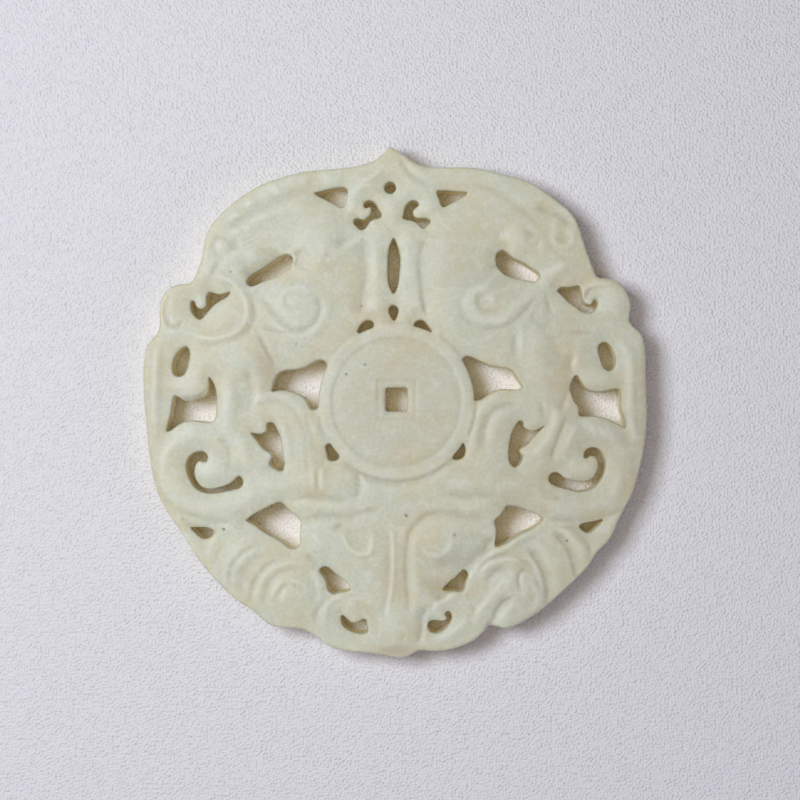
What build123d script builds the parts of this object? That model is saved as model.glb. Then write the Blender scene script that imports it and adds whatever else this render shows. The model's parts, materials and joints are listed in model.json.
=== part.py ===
from build123d import *
import os

# A jade amulet disc, worn on a string: one flat slab of pale jade, pierced right through with a saw and
# carved from the front. It shows a square-holed coin in the middle, two crested beasts that meet above
# it, their scrolled tails beside it, and below it a horned mask between two shell-shaped lobes.
# It lies on its plain back: +Z is the carved front, +Y runs to the peak, and +X is the front's right.

# Sizes of the slab, in millimetres
DISC_WIDTH = 60.0
DISC_HEIGHT = 60.8
DISC_THICKNESS = 5.5
SHOULDER_DROP = 1.5
SHOULDER_INSET = 1.0
FOOT_RISE = 0.6
FOOT_INSET = 0.4

# The coin: its rim stands proud of a sunken field, and a border frames its square hole
COIN_DIAMETER = 18.6
COIN_RIM_WIDTH = 1.3
COIN_FIELD_DEPTH = 0.45
COIN_EDGE_SLOPE = 0.35
COIN_MIDDLE = (0.5, 0.0)
SQUARE_WIDTH = 2.6
SQUARE_HEIGHT = 2.8
SQUARE_BORDER = 0.9
SQUARE_CORNER_RADIUS = 0.3
SQUARE_MIDDLE = (0.0, 1.0)

# The drilled hole for the string, flared at the front
CORD_BORE_DIAMETER = 1.4
CORD_FLARE = 0.3
CORD_HOLE_MIDDLE = (-2.0, 84.0)

# The carver's wheel cuts: width at the surface and depth, for the deep cuts round each form, the fine
# ones inside it, and the pits of the beasts' eyes
DEEP_CUT_WIDTH = 1.3
DEEP_CUT_DEPTH = 0.8
FINE_CUT_WIDTH = 0.8
FINE_CUT_DEPTH = 0.45
CUT_FLOOR_WIDTH = 0.15
CUT_SIDE_LENGTH = 1.6
MIN_CUT_SIDES = 3
EYE_PIT_DIAMETER = 1.2
EYE_PIT_DEPTH = 0.5

# How far a cutter stands past the surface that it cuts
CLEAR = 0.3

# Every place below is (across, up): across is in percent of half the width, to the right of the middle,
# and up is in percent of half the height, towards the peak. They were chosen by eye from the real thing,
# and left and right differ because it is carved by hand.

# The rim of the slab, clockwise from the peak, lobe by lobe
RIM = {
    "peak": [(-1.5, 100), (1.5, 98), (6, 95), (11.5, 92.5)],
    "right_mane": [(21.5, 92), (33.5, 91.5), (45.5, 88.5), (55.5, 85), (64, 79), (69, 75), (73, 68.5),
                   (75.5, 60.5), (78.5, 52.5), (80.5, 49)],
    "right_curl": [(84, 48.5), (88.5, 47), (92, 43), (93.5, 37), (93, 31.5)],
    "right_side": [(97, 27.5), (99, 22.5), (99.5, 12.5), (100, -3), (99, -16.5), (97, -26.5), (94, -36),
                   (88.5, -46.5), (84.5, -54.5), (80, -59)],
    "right_shell": [(77.5, -63), (74, -67), (65.5, -75), (56.5, -82.5), (50, -86.5), (42.5, -88.5),
                    (38, -87.5)],
    "right_chin": [(34.5, -90.5), (29, -94.5), (21.5, -97), (13, -97.5), (9, -97.5)],
    "muzzle": [(5.5, -99.5), (0, -100), (-9, -98.5)],
    "left_chin": [(-20, -97.5), (-28, -94.5), (-33.5, -90.5), (-37, -89)],
    "left_shell": [(-44, -88.5), (-51, -86.5), (-56.5, -81.5), (-61.5, -78.5), (-68.5, -72.5),
                   (-75.5, -65)],
    "left_side": [(-80.5, -58), (-86, -49.5), (-92.5, -39.5), (-96, -30), (-97.5, -21.5), (-99, -7),
                  (-100, 6.5), (-99.5, 17.5), (-97.5, 23.5), (-94, 28)],
    "left_curl": [(-93.5, 31.5), (-93.5, 37.5), (-91, 43.5), (-86.5, 46), (-81, 47)],
    "left_mane": [(-78.5, 51.5), (-76.5, 57.5), (-75.5, 64), (-72.5, 70), (-64.5, 78), (-55.5, 84),
                  (-45.5, 88), (-34.5, 90.5), (-22, 91.5), (-13, 93), (-7, 95.5), (-3.5, 99)],
}

# The openings that are sawn right through, each going once round
OPENINGS = {
    "left_crown_gap": [(-32, 82), (-28, 83), (-19, 83), (-19.5, 79.5), (-20.5, 76.5), (-25, 78), (-30, 80.5)],
    "right_crown_gap": [(17, 83), (20, 83), (25, 82.5), (28.5, 82), (25.5, 79.5), (21.5, 77.5), (19, 76.5),
                        (17.5, 79.5)],
    "left_cloud_hook": [(-12.5, 77), (-12, 78.5), (-10, 79), (-8, 78), (-6.5, 75.5), (-5.5, 73), (-6.5, 72),
                        (-9, 71.5), (-10.5, 70), (-12, 68), (-13.5, 67.5), (-15, 68.5), (-16.5, 71),
                        (-15.5, 72), (-13, 71.5), (-10.5, 73), (-9.5, 75), (-10, 76.5), (-11.5, 76)],
    "right_cloud_hook": [(3, 72.5), (3.5, 75), (4.5, 77.5), (6.5, 79), (8, 79), (9.5, 77.5), (8, 76),
                         (7, 74.5), (7.5, 73), (10, 72), (12.5, 72), (14, 71), (13, 69.5), (11.5, 68),
                         (9.5, 69.5), (7, 71), (4.5, 71.5)],
    "middle_slit": [(-1, 64), (-2.5, 60.5), (-3, 55), (-3, 49), (-2, 44.5), (-0.5, 42.5), (0.5, 44),
                    (1.5, 48.5), (2, 55), (1, 61)],
    "middle_drop": [(-2.5, 36.5), (-1, 38), (1, 37), (1, 34.5), (-0.5, 32), (-2, 34)],
    "left_coin_notch": [(-15, 28), (-14, 30), (-11.5, 32), (-9, 31.5), (-8.5, 30), (-10.5, 28),
                        (-13, 26.5)],
    "right_coin_notch": [(7.5, 30.5), (9, 32), (11, 32), (13, 30), (14.5, 27.5), (12, 27.5), (9, 28.5)],
    "left_neck_gap": [(-59, 47.5), (-57.5, 49.5), (-53.5, 52), (-49.5, 54.5), (-46, 57), (-43.5, 58),
                      (-41, 57), (-41, 54), (-44, 51), (-49, 48.5), (-53, 47), (-56.5, 45.5), (-58.5, 46)],
    "right_neck_gap": [(40, 57), (41, 59), (42.5, 59.5), (44.5, 58.5), (47, 56.5), (51, 54.5), (55, 52),
                       (57.5, 49.5), (56, 47.5), (53, 47.5), (48, 48.5), (43.5, 50), (41, 52.5), (40, 55)],
    "left_jaw_hook": [(-81, 39.5), (-81, 36), (-79.5, 33.5), (-77.5, 32.5), (-75.5, 34), (-73, 37),
                      (-70, 39.5), (-66.5, 41.5), (-65.5, 43), (-68, 42.5), (-71.5, 42.5), (-74, 43),
                      (-75, 41), (-75, 38), (-77, 36.5), (-79, 37.5), (-80, 39.5)],
    "right_jaw_hook": [(64.5, 44), (66, 45), (69.5, 45), (73, 45.5), (74, 43), (74.5, 40.5), (76, 38.5),
                       (78, 38.5), (79, 40), (80, 39.5), (80, 37), (78, 35), (75.5, 35), (72, 37), (68, 40),
                       (65.5, 42.5)],
    "left_arm_gap": [(-82.5, 21.5), (-81.5, 19), (-82, 16), (-83, 12), (-85.5, 10), (-87.5, 10.5),
                     (-88.5, 13.5), (-88, 17), (-86, 20), (-84, 21.5)],
    "right_arm_gap": [(80.5, 21), (81.5, 23), (83.5, 23.5), (85.5, 22), (87, 19), (87.5, 15.5), (86, 12.5),
                      (84, 12.5), (82, 15), (81, 18)],
    "left_coin_gap": [(-49, 4.5), (-48, 8.5), (-46, 11.5), (-43, 12.5), (-38, 13), (-33.5, 15),
                      (-29.5, 16.5), (-27.5, 15.5), (-28, 11.5), (-29, 6), (-29.5, 1.5), (-31, -2.5),
                      (-33, -3), (-35, 0), (-38, 3), (-42.5, 4.5), (-47, 4.5)],
    "right_coin_gap": [(26.5, 16.5), (28, 18), (32, 17), (37, 14.5), (42.5, 13.5), (46, 12.5), (48.5, 9),
                       (50.5, 5.5), (46.5, 5), (41.5, 5), (37, 3), (34, 1), (31, 1), (30, 5.5), (29, 11)],
    "left_leg_gap": [(-73.5, 9.5), (-72, 7), (-71, 3), (-71, -2), (-72.5, -7.5), (-77.5, -7.5), (-83, -7.5),
                     (-87, -9.5), (-90.5, -11.5), (-89.5, -6), (-88.5, 0), (-87.5, 2.5), (-84.5, 1),
                     (-80.5, 0.5), (-76.5, 2), (-74, 5)],
    "right_leg_gap": [(69.5, 4.5), (70, 8), (72, 10.5), (73.5, 8.5), (76.5, 5), (81, 4), (86, 5), (89, 5),
                      (89.5, 1), (90, -4), (91.5, -10), (87.5, -8), (82.5, -6), (76.5, -5.5), (73, -5),
                      (73, -2.5), (71, 0.5)],
    "left_horn_curl": [(-74.5, -21), (-76, -19.5), (-79, -19.5), (-81.5, -21), (-83, -25), (-82, -29.5),
                       (-79.5, -33.5), (-75.5, -35.5), (-70, -35.5), (-64.5, -34.5), (-61, -33),
                       (-60.5, -30.5), (-62, -29), (-64.5, -31), (-68.5, -33), (-73, -34), (-77, -33),
                       (-79.5, -29), (-79.5, -25.5), (-77.5, -23), (-75.5, -23.5)],
    "right_horn_curl": [(61, -30), (62, -28), (64, -27.5), (67, -29.5), (71, -31), (75.5, -31), (79, -29),
                        (80.5, -25.5), (80, -22), (78, -21), (75.5, -22), (75, -20), (77, -18), (80, -18),
                        (82.5, -20.5), (83.5, -24.5), (82.5, -29), (79.5, -33), (74.5, -35), (68, -34),
                        (63, -32.5)],
    "left_leaf_gap": [(-57, -12), (-54.5, -12.5), (-52, -12), (-51, -10), (-51, -8.5), (-49, -8),
                      (-47, -10.5), (-45.5, -14), (-45, -19), (-44, -24), (-45, -27), (-48, -26), (-50, -24),
                      (-49, -21), (-52, -18.5), (-55, -15)],
    "right_leaf_gap": [(49, -7.5), (47, -10.5), (45.5, -15), (45, -20), (46, -24.5), (47.5, -25.5),
                       (50, -23.5), (50.5, -21), (49.5, -19.5), (52.5, -16.5), (56, -12.5), (59, -9.5),
                       (56, -11), (53, -11), (51, -9.5), (50.5, -7.5)],
    "left_coin_drop": [(-27.5, -19), (-27, -16.5), (-25, -16.5), (-23, -19), (-22.5, -22), (-24, -23),
                       (-26.5, -22.5)],
    "right_coin_drop": [(27, -16), (28, -18.5), (27.5, -21), (25.5, -22.5), (23, -22), (23, -20.5),
                        (25, -18)],
    "left_brow_gap": [(-59, -46), (-55.5, -43.5), (-50.5, -41), (-45, -39.5), (-43, -41.5), (-39.5, -44.5),
                      (-37.5, -47), (-38, -52), (-38, -56), (-41, -57.5), (-44, -55.5), (-49, -52.5),
                      (-53.5, -50), (-57, -47.5)],
    "right_brow_gap": [(45, -40.5), (48.5, -41), (54, -43), (58.5, -46), (56, -48.5), (51, -51),
                       (46.5, -53.5), (42.5, -56), (40, -56.5), (40, -52.5), (40, -49), (39.5, -46.5),
                       (42, -44)],
    "left_low_gap": [(-81, -49), (-77.5, -49), (-73.5, -49.5), (-72, -50.5), (-73.5, -53), (-76, -53.5),
                     (-79, -51.5)],
    "right_low_gap": [(73.5, -48), (76.5, -47), (79.5, -46.5), (82.5, -46), (80.5, -48.5), (77.5, -51),
                      (75.5, -51)],
    "left_cheek_gap": [(-29.5, -65), (-27, -64.5), (-24, -67), (-20.5, -69.5), (-18, -73.5), (-21.5, -74.5),
                       (-25, -75), (-27, -73), (-28, -69)],
    "right_cheek_gap": [(28, -66), (29, -67.5), (28, -70.5), (27, -74), (23.5, -74), (19, -73.5),
                        (21.5, -70.5), (25, -67.5)],
    "left_lip_hook": [(-21, -83.5), (-19.5, -84.5), (-17, -86.5), (-14.5, -86), (-12, -85), (-11, -88),
                      (-11, -90), (-15, -90.5), (-19, -89), (-21.5, -85.5)],
    "right_lip_hook": [(20, -82.5), (21.5, -82), (22.5, -84.5), (21.5, -87), (19, -89.5), (15.5, -90.5),
                       (13, -88.5), (13.5, -86), (16.5, -85.5), (19.5, -85.5), (20.5, -84.5)],
}

# The deep cuts that set one carved form off from the next
DEEP_CUTS = {
    "left_mane_edge": [(-35.5, 81), (-45.5, 78.5), (-56.5, 72.5), (-63.5, 68.5), (-68.5, 63.5)],
    "right_mane_edge": [(33, 81), (41, 79), (50, 75.5), (58, 70.5), (63.5, 64)],
    "left_crown_edge": [(-7, 91), (-11.5, 87.5), (-16, 84.5)],
    "right_crown_edge": [(4.5, 91), (9, 88), (14, 84.5)],
    "left_body_edge": [(-16, 64.5), (-20, 61.5), (-24, 60)],
    "right_body_edge": [(14.5, 66), (18.5, 63), (23, 61)],
    "left_leg_band": [(-10.5, 63), (-10, 55), (-11.5, 48), (-13.5, 42), (-14, 36)],
    "right_leg_band": [(7.5, 60), (8, 54), (9, 47), (10.5, 40), (11.5, 36)],
    "left_neck_crescent": [(-35.5, 66), (-30.5, 61.5), (-30, 55.5), (-33, 51), (-38.5, 46.5)],
    "right_neck_crescent": [(35.5, 66), (31.5, 61.5), (31, 55.5), (33.5, 50.5), (38.5, 46)],
    "left_haunch": [(-48, 32.5), (-43.5, 28.5), (-37, 27.5), (-31.5, 31), (-29, 37), (-31, 43)],
    "right_haunch": [(30, 44), (27, 38), (29.5, 32), (35.5, 29), (42.5, 29), (49.5, 33), (54, 39)],
    "left_jaw": [(-63, 46.5), (-59.5, 42.5), (-58, 37), (-59.5, 31), (-64.5, 26.5), (-71.5, 25), (-77.5, 26.5)],
    "right_jaw": [(61, 46), (59.5, 41), (60, 34.5), (62.5, 29), (67.5, 26), (73, 25.5), (78, 27)],
    "left_flank": [(-54.5, 27), (-51.5, 22), (-48.5, 16)],
    "right_flank": [(50.5, 28), (50.5, 22), (50, 16)],
    "left_thigh": [(-73, 17), (-68.5, 13.5), (-66, 8), (-66, 1), (-65.5, -6)],
    "right_thigh": [(68.5, 16.5), (65, 11), (63.5, 4), (64, -3), (62.5, -9)],
    "left_tail_edge": [(-74, -12.5), (-68.5, -14.5), (-65.5, -19), (-65.5, -25)],
    "right_tail_edge": [(74, -12), (69.5, -14), (66.5, -18), (66.5, -23)],
    "left_tail_foot": [(-61.5, -39), (-67, -42), (-74, -44.5), (-81, -45), (-86, -43)],
    "right_tail_foot": [(62.5, -39.5), (68, -42), (74.5, -43), (81, -42), (86.5, -38.5)],
    "left_horn_top": [(-17.5, -26), (-24, -27.5), (-32, -27.5), (-39.5, -29.5)],
    "right_horn_top": [(17.5, -26), (24.5, -27), (32, -27), (40, -28.5)],
    "left_horn_foot": [(-16.5, -37), (-24, -37.5), (-32, -37.5), (-39.5, -38)],
    "right_horn_foot": [(17, -36.5), (24, -36.5), (32, -36.5), (39.5, -37.5)],
    "left_cheek_edge": [(-36.5, -58.5), (-33.5, -61.5)],
    "right_cheek_edge": [(37.5, -58.5), (33, -62.5)],
    "left_muzzle": [(-14.5, -76), (-10, -80), (-7.5, -86), (-7, -92)],
    "right_muzzle": [(15.5, -76), (11.5, -80.5), (9.5, -86), (8.5, -92)],
    "left_chin_curl": [(-31, -86), (-30, -81.5), (-26, -78.5), (-20.5, -78), (-16, -81)],
    "right_chin_curl": [(33, -85), (30.5, -80), (26, -77.5), (20.5, -77.5), (16.5, -80)],
    "left_shell_edge": [(-57.5, -78), (-57.5, -70), (-53, -62.5), (-45.5, -60), (-37, -62)],
    "right_shell_edge": [(60.5, -76), (59, -69), (55, -63), (48, -59.5), (41.5, -60), (35, -64)],
}

# The finer cuts inside the forms
FINE_CUTS = {
    "left_haunch_curl": [(-36.5, 43.5), (-40, 44.5), (-43, 41), (-42, 36.5), (-38, 35), (-35.5, 37.5)],
    "right_haunch_curl": [(36.5, 43.5), (40.5, 44), (43, 40.5), (41.5, 36.5), (37.5, 35.5), (35, 38)],
    "left_ear_curl": [(-84, 43.5), (-88, 42), (-90, 38), (-89, 33.5), (-85.5, 31.5)],
    "right_ear_curl": [(83.5, 45), (87.5, 43.5), (90, 39.5), (88.5, 35), (84.5, 33)],
    "left_side_line": [(-92, 23), (-93.5, 12), (-93.5, 0), (-93.5, -12), (-91, -22)],
    "right_side_line": [(92, 23), (93.5, 12), (94.5, 0), (94.5, -12), (92, -22)],
    "left_scroll_line": [(-33.5, -7), (-34.5, -13), (-35.5, -20)],
    "right_scroll_line": [(33.5, -5), (34, -12), (35.5, -19)],
    "left_horn_end": [(-15, -28.5), (-13.5, -31.5), (-15, -35)],
    "right_horn_end": [(15, -28.5), (13.5, -31.5), (15, -34.5)],
    "left_horn_ring": [(-33, -29.5), (-34, -32.5), (-33, -35.5)],
    "right_horn_ring": [(40, -30.5), (41, -33), (40, -35.5)],
    "left_brow_line": [(-35.5, -45), (-27, -43), (-17, -43.5), (-8, -47.5)],
    "right_brow_line": [(37, -44.5), (28.5, -42.5), (18.5, -43), (10, -46.5)],
    "left_upper_lid": [(-21.5, -55), (-18.5, -51), (-14, -49.5), (-9.5, -52)],
    "left_lower_lid": [(-19.5, -57.5), (-14.5, -59), (-10, -56.5)],
    "right_upper_lid": [(9.5, -52), (13, -49.5), (17, -49), (21, -52)],
    "right_lower_lid": [(11, -56), (15.5, -58), (20, -56)],
    "left_nose": [(-2.5, -48), (-3, -58), (-3, -68), (-4, -78)],
    "right_nose": [(6, -48), (4.5, -58), (4.5, -68), (5.5, -78)],
    "left_shell_second": [(-66, -72), (-66, -66.5), (-63, -61), (-57, -57)],
    "right_shell_second": [(70, -67), (69.5, -61.5), (66.5, -56), (61.5, -53)],
    "left_shell_third": [(-73, -60), (-72.5, -56), (-68, -53), (-62, -51.5)],
    "left_shell_heart": [(-50, -75), (-50, -69), (-46.5, -65), (-41, -65), (-37, -69), (-37, -75)],
    "right_shell_heart": [(37.5, -77), (38, -71), (42.5, -66), (48.5, -66), (52, -70.5), (52, -76)],
    "right_shell_tongue": [(47.5, -73), (43.5, -77), (40.5, -81)],
}

# The beasts' eyes
BEAST_EYES = {
    "left_beast_eye": (-67.5, 61),
    "right_beast_eye": (57, 63.5),
}

half_width = DISC_WIDTH / 2
half_height = DISC_HEIGHT / 2


def place(spot, inset=0.0):
    """The spot, in millimetres, on an outline drawn in by the inset."""
    across, up = spot
    return (across / 100 * (half_width - inset), up / 100 * (half_height - inset))


def closed_face(points, height):
    """A flat face inside one smooth closed curve through the points."""
    curve = Spline(*[(x, y, height) for x, y in points], periodic=True)
    return Face(Wire([curve]))


def rim_face(height, inset=0.0):
    """The slab's rim at a height, drawn in by the inset."""
    return closed_face([place(spot, inset) for lobe in RIM.values() for spot in lobe], height)


def slab():
    """The blank: a foot that draws in to the back, an upright edge, and a shoulder up to the front."""
    foot = loft([rim_face(0, FOOT_INSET), rim_face(FOOT_RISE)], ruled=True)
    edge_height = DISC_THICKNESS - SHOULDER_DROP - FOOT_RISE
    edge = extrude(rim_face(FOOT_RISE), amount=edge_height, dir=(0, 0, 1))
    shoulder = loft([rim_face(DISC_THICKNESS - SHOULDER_DROP), rim_face(DISC_THICKNESS, SHOULDER_INSET)],
                    ruled=True)
    return foot + edge + shoulder


def opening(spots):
    """A saw cut right through the slab."""
    face = closed_face([place(spot) for spot in spots], -CLEAR)
    return extrude(face, amount=DISC_THICKNESS + 2 * CLEAR, dir=(0, 0, 1))


def stroke(spine, width, height):
    """A flat face of short straight sides, as wide as the width, with pointed ends past the spine's."""
    stations = max(MIN_CUT_SIDES, round(spine.length / CUT_SIDE_LENGTH))
    left = []
    right = []
    for index in range(stations + 1):
        middle = spine @ (index / stations)
        heading = spine % (index / stations)
        left.append((middle.X - heading.Y * width / 2, middle.Y + heading.X * width / 2, height))
        right.append((middle.X + heading.Y * width / 2, middle.Y - heading.X * width / 2, height))
    start = spine @ 0 - (spine % 0) * (width / 2)
    end = spine @ 1 + (spine % 1) * (width / 2)
    corners = [(start.X, start.Y, height), *left, (end.X, end.Y, height), *reversed(right)]
    return Face(Wire(Polyline(*corners, close=True).edges()))


def wheel_cut(spots, width, depth):
    """A cutter with sloping flanks that follows the spots, for a groove of that width and depth."""
    spine = Spline(*[place(spot) for spot in spots])
    flank = (width - CUT_FLOOR_WIDTH) / depth
    floor = stroke(spine, CUT_FLOOR_WIDTH, DISC_THICKNESS - depth)
    mouth = stroke(spine, width + flank * CLEAR, DISC_THICKNESS + CLEAR)
    return loft([floor, mouth], ruled=True)


def coin():
    """The coin as a plain round cake, as thick as the slab, with its edge sloped at the front."""
    radius = COIN_DIAMETER / 2
    body = extrude(Plane.XY * Circle(radius), amount=DISC_THICKNESS)
    body = chamfer(body.edges().filter_by(GeomType.CIRCLE).group_by(Axis.Z)[-1], COIN_EDGE_SLOPE)
    return Pos(*place(COIN_MIDDLE)) * body


def coin_moat():
    """The ring cut round the coin, which its sloped edge rises from."""
    inner = COIN_DIAMETER / 2 - COIN_EDGE_SLOPE
    outer = COIN_DIAMETER / 2 + DEEP_CUT_WIDTH - COIN_EDGE_SLOPE
    floor = DISC_THICKNESS - DEEP_CUT_DEPTH
    ring = Plane.XY.offset(floor) * (Circle(outer) - Circle(inner))
    return Pos(*place(COIN_MIDDLE)) * extrude(ring, amount=DEEP_CUT_DEPTH + CLEAR)


def coin_field():
    """The sunken field of the coin, between its rim and the border of its square hole."""
    radius = COIN_DIAMETER / 2 - COIN_RIM_WIDTH
    border = Pos(*place(SQUARE_MIDDLE)) * Rectangle(SQUARE_WIDTH + 2 * SQUARE_BORDER,
                                                    SQUARE_HEIGHT + 2 * SQUARE_BORDER)
    field = Plane.XY.offset(DISC_THICKNESS - COIN_FIELD_DEPTH) * (Circle(radius) - border)
    return Pos(*place(COIN_MIDDLE)) * extrude(field, amount=COIN_FIELD_DEPTH + CLEAR)


def square_hole():
    """The square hole through the coin, with softened corners."""
    hole = RectangleRounded(SQUARE_WIDTH, SQUARE_HEIGHT, SQUARE_CORNER_RADIUS)
    cutter = extrude(Plane.XY.offset(-CLEAR) * hole, amount=DISC_THICKNESS + 2 * CLEAR)
    return Pos(*place(COIN_MIDDLE)) * Pos(*place(SQUARE_MIDDLE)) * cutter


def cord_hole():
    """The drilled hole for the string and its flare at the front."""
    radius = CORD_BORE_DIAMETER / 2
    drill = Cylinder(radius, DISC_THICKNESS + 2 * CLEAR, align=(Align.CENTER, Align.CENTER, Align.MIN))
    flare = Cone(radius, radius + CORD_FLARE + CLEAR, CORD_FLARE + CLEAR,
                 align=(Align.CENTER, Align.CENTER, Align.MIN))
    tool = Pos(0, 0, -CLEAR) * drill + Pos(0, 0, DISC_THICKNESS - CORD_FLARE) * flare
    return Pos(*place(CORD_HOLE_MIDDLE)) * tool


def eye_pit(spot):
    """A round pit for a beast's eye."""
    flank = EYE_PIT_DIAMETER / 2 / EYE_PIT_DEPTH
    pit = Cone(CUT_FLOOR_WIDTH, EYE_PIT_DIAMETER / 2 + flank * CLEAR, EYE_PIT_DEPTH + CLEAR,
               align=(Align.CENTER, Align.CENTER, Align.MIN))
    return Pos(*place(spot)) * Pos(0, 0, DISC_THICKNESS - EYE_PIT_DEPTH) * pit


def jade_disc():
    """The whole carved disc, one solid."""
    disc = slab()
    disc -= [opening(spots) for spots in OPENINGS.values()]
    disc -= coin_moat()
    disc += coin()
    disc -= [coin_field(), square_hole(), cord_hole()]
    disc -= [wheel_cut(spots, DEEP_CUT_WIDTH, DEEP_CUT_DEPTH) for spots in DEEP_CUTS.values()]
    disc -= [wheel_cut(spots, FINE_CUT_WIDTH, FINE_CUT_DEPTH) for spots in FINE_CUTS.values()]
    disc -= [eye_pit(spot) for spot in BEAST_EYES.values()]
    return disc


def main():
    os.makedirs("parts", exist_ok=True)
    disc = jade_disc()
    box = disc.bounding_box()
    print("jade_disc", len(disc.solids()), "solid,", round(disc.volume, 1), "mm3")
    print("box", [round(value, 2) for value in (*box.min, *box.max)])
    export_step(disc, "parts/jade_disc.step")


main()
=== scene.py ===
# %% [markdown]
# # A pierced and carved jade disc
# This notebook gives an amulet of pale jade its looks. The real one was sawn from a flat slab: the gaps
# were cut right through, the front was carved with small wheels, and the whole was rubbed to a soft
# gloss. Its back is plain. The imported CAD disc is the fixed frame, and nothing here moves or resizes it.

# %% Load the frame
import json
import math
import bpy
import numpy as np
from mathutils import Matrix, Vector
from mathutils.geometry import delaunay_2d_cdt
from mathutils.kdtree import KDTree

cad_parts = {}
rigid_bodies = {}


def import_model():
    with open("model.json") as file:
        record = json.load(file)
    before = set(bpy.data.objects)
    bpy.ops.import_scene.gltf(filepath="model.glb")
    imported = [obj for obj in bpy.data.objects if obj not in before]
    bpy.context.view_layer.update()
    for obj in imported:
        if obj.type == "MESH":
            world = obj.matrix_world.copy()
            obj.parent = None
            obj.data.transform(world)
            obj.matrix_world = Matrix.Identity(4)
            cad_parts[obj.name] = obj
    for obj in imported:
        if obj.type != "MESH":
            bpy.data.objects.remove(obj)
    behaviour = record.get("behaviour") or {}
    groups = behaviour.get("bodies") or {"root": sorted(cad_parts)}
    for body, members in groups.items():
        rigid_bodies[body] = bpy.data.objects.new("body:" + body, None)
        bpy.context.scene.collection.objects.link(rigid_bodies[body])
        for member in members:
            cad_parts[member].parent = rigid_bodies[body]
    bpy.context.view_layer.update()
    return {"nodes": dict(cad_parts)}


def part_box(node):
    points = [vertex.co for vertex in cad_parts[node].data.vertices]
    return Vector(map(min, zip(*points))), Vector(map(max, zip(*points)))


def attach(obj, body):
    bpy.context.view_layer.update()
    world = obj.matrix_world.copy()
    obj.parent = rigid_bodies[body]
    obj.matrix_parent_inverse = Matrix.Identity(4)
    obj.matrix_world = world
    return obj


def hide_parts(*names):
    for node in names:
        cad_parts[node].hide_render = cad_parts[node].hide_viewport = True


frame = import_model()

bpy.ops.object.select_all(action="DESELECT")
for leftover in bpy.data.objects:
    leftover.select_set(leftover.name in ("Cube", "Light", "Camera"))
bpy.ops.object.delete()
low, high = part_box("jade_disc")
MM = 0.001
half_width = (high.x - low.x) / 2 / MM
half_height = (high.y - low.y) / 2 / MM
thickness = (high.z - low.z) / MM
print("disc", round(2 * half_width, 2), "x", round(2 * half_height, 2), "x", round(thickness, 2), "mm")

# %% [markdown]
# ## How places are given
# A carver marks a design out from the middle of the slab. Every place below is (across, up) in percent
# of half the width and half the height, so the carving keeps its place if the slab changes size. Depths
# and widths are in millimetres, because a carving wheel keeps its size whatever it cuts.

# %% Turn a place into millimetres
def place(spots):
    """Places in percent of the half sizes, as an array of millimetres."""
    return np.array(spots, float) / 100 * (half_width, half_height)

print("a place of (50, 50) is", [round(float(value), 2) for value in place((50, 50))], "mm from the middle")

# %% [markdown]
# ## The sawn blank
# The outline and the gaps must be exactly those of the CAD disc. So the blank isn't drawn again: a copy
# of the CAD mesh is bisected at half its thickness with both sides cleared, and only the rings where its
# walls cross that plane are left. Drawing them by hand would only add errors.

# %% Cut a copy of the CAD disc at mid height
def select_only(piece):
    """The piece alone is selected and active."""
    bpy.ops.object.select_all(action="DESELECT")
    piece.select_set(True)
    bpy.context.view_layer.objects.active = piece

def cut_rings():
    """The rings of the disc's walls at mid height, each an array of places in millimetres."""
    copy = bpy.data.objects.new("cut_copy", frame["nodes"]["jade_disc"].data.copy())
    bpy.context.scene.collection.objects.link(copy)
    select_only(copy)
    bpy.ops.object.mode_set(mode="EDIT")
    bpy.ops.mesh.select_all(action="SELECT")
    bpy.ops.mesh.remove_doubles(threshold=1e-7)
    bpy.ops.mesh.bisect(plane_co=(0, 0, (low.z + high.z) / 2), plane_no=(0, 0, 1),
                        clear_inner=True, clear_outer=True, threshold=1e-8)
    bpy.ops.object.mode_set(mode="OBJECT")
    spots = np.array([vertex.co for vertex in copy.data.vertices])[:, :2] / MM
    beside = {}
    for edge in copy.data.edges:
        first, second = edge.vertices
        beside.setdefault(first, []).append(second)
        beside.setdefault(second, []).append(first)
    bpy.data.objects.remove(copy)
    rings = []
    unseen = set(beside)
    while unseen:
        here = min(unseen)
        ring = []
        while here in unseen:
            unseen.remove(here)
            ring.append(here)
            here = next((other for other in beside[here] if other in unseen), here)
        rings.append(spots[ring])
    return rings

rings = cut_rings()
print(len(rings), "rings with", sum(len(ring) for ring in rings), "corners")

# %% [markdown]
# The rings come in any direction and with uneven corners. Each is walked again in even steps, and turned
# so that the jade lies on its left: the outline runs anticlockwise and the gaps run clockwise. The left
# hand normal then points into the stone everywhere.

# %% Walk the rings in even steps
RING_STEP = 0.2
FEWEST_CORNERS = 16

def ring_area(ring):
    """Twice the signed area of a ring, positive when it runs anticlockwise."""
    after = np.roll(ring, -1, axis=0)
    return float((ring[:, 0] * after[:, 1] - after[:, 0] * ring[:, 1]).sum())

def even_ring(ring, step):
    """The same ring with its corners a step apart."""
    closed = np.vstack([ring, ring[:1]])
    run = np.concatenate([[0], np.cumsum(np.linalg.norm(np.diff(closed, axis=0), axis=1))])
    count = max(FEWEST_CORNERS, round(run[-1] / step))
    stations = np.arange(count) / count * run[-1]
    return np.column_stack([np.interp(stations, run, closed[:, axis]) for axis in (0, 1)])

rings.sort(key=lambda ring: -abs(ring_area(ring)))
walls = []
for number, ring in enumerate(rings):
    anticlockwise = ring_area(ring) > 0
    if anticlockwise != (number == 0):
        ring = ring[::-1]
    walls.append(even_ring(ring, RING_STEP))
wall_spots = np.vstack(walls)

def inward(ring):
    """Unit normals of a ring that point into the jade."""
    way = np.roll(ring, -1, axis=0) - np.roll(ring, 1, axis=0)
    way /= np.linalg.norm(way, axis=1)[:, None]
    return np.column_stack([-way[:, 1], way[:, 0]])

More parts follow.
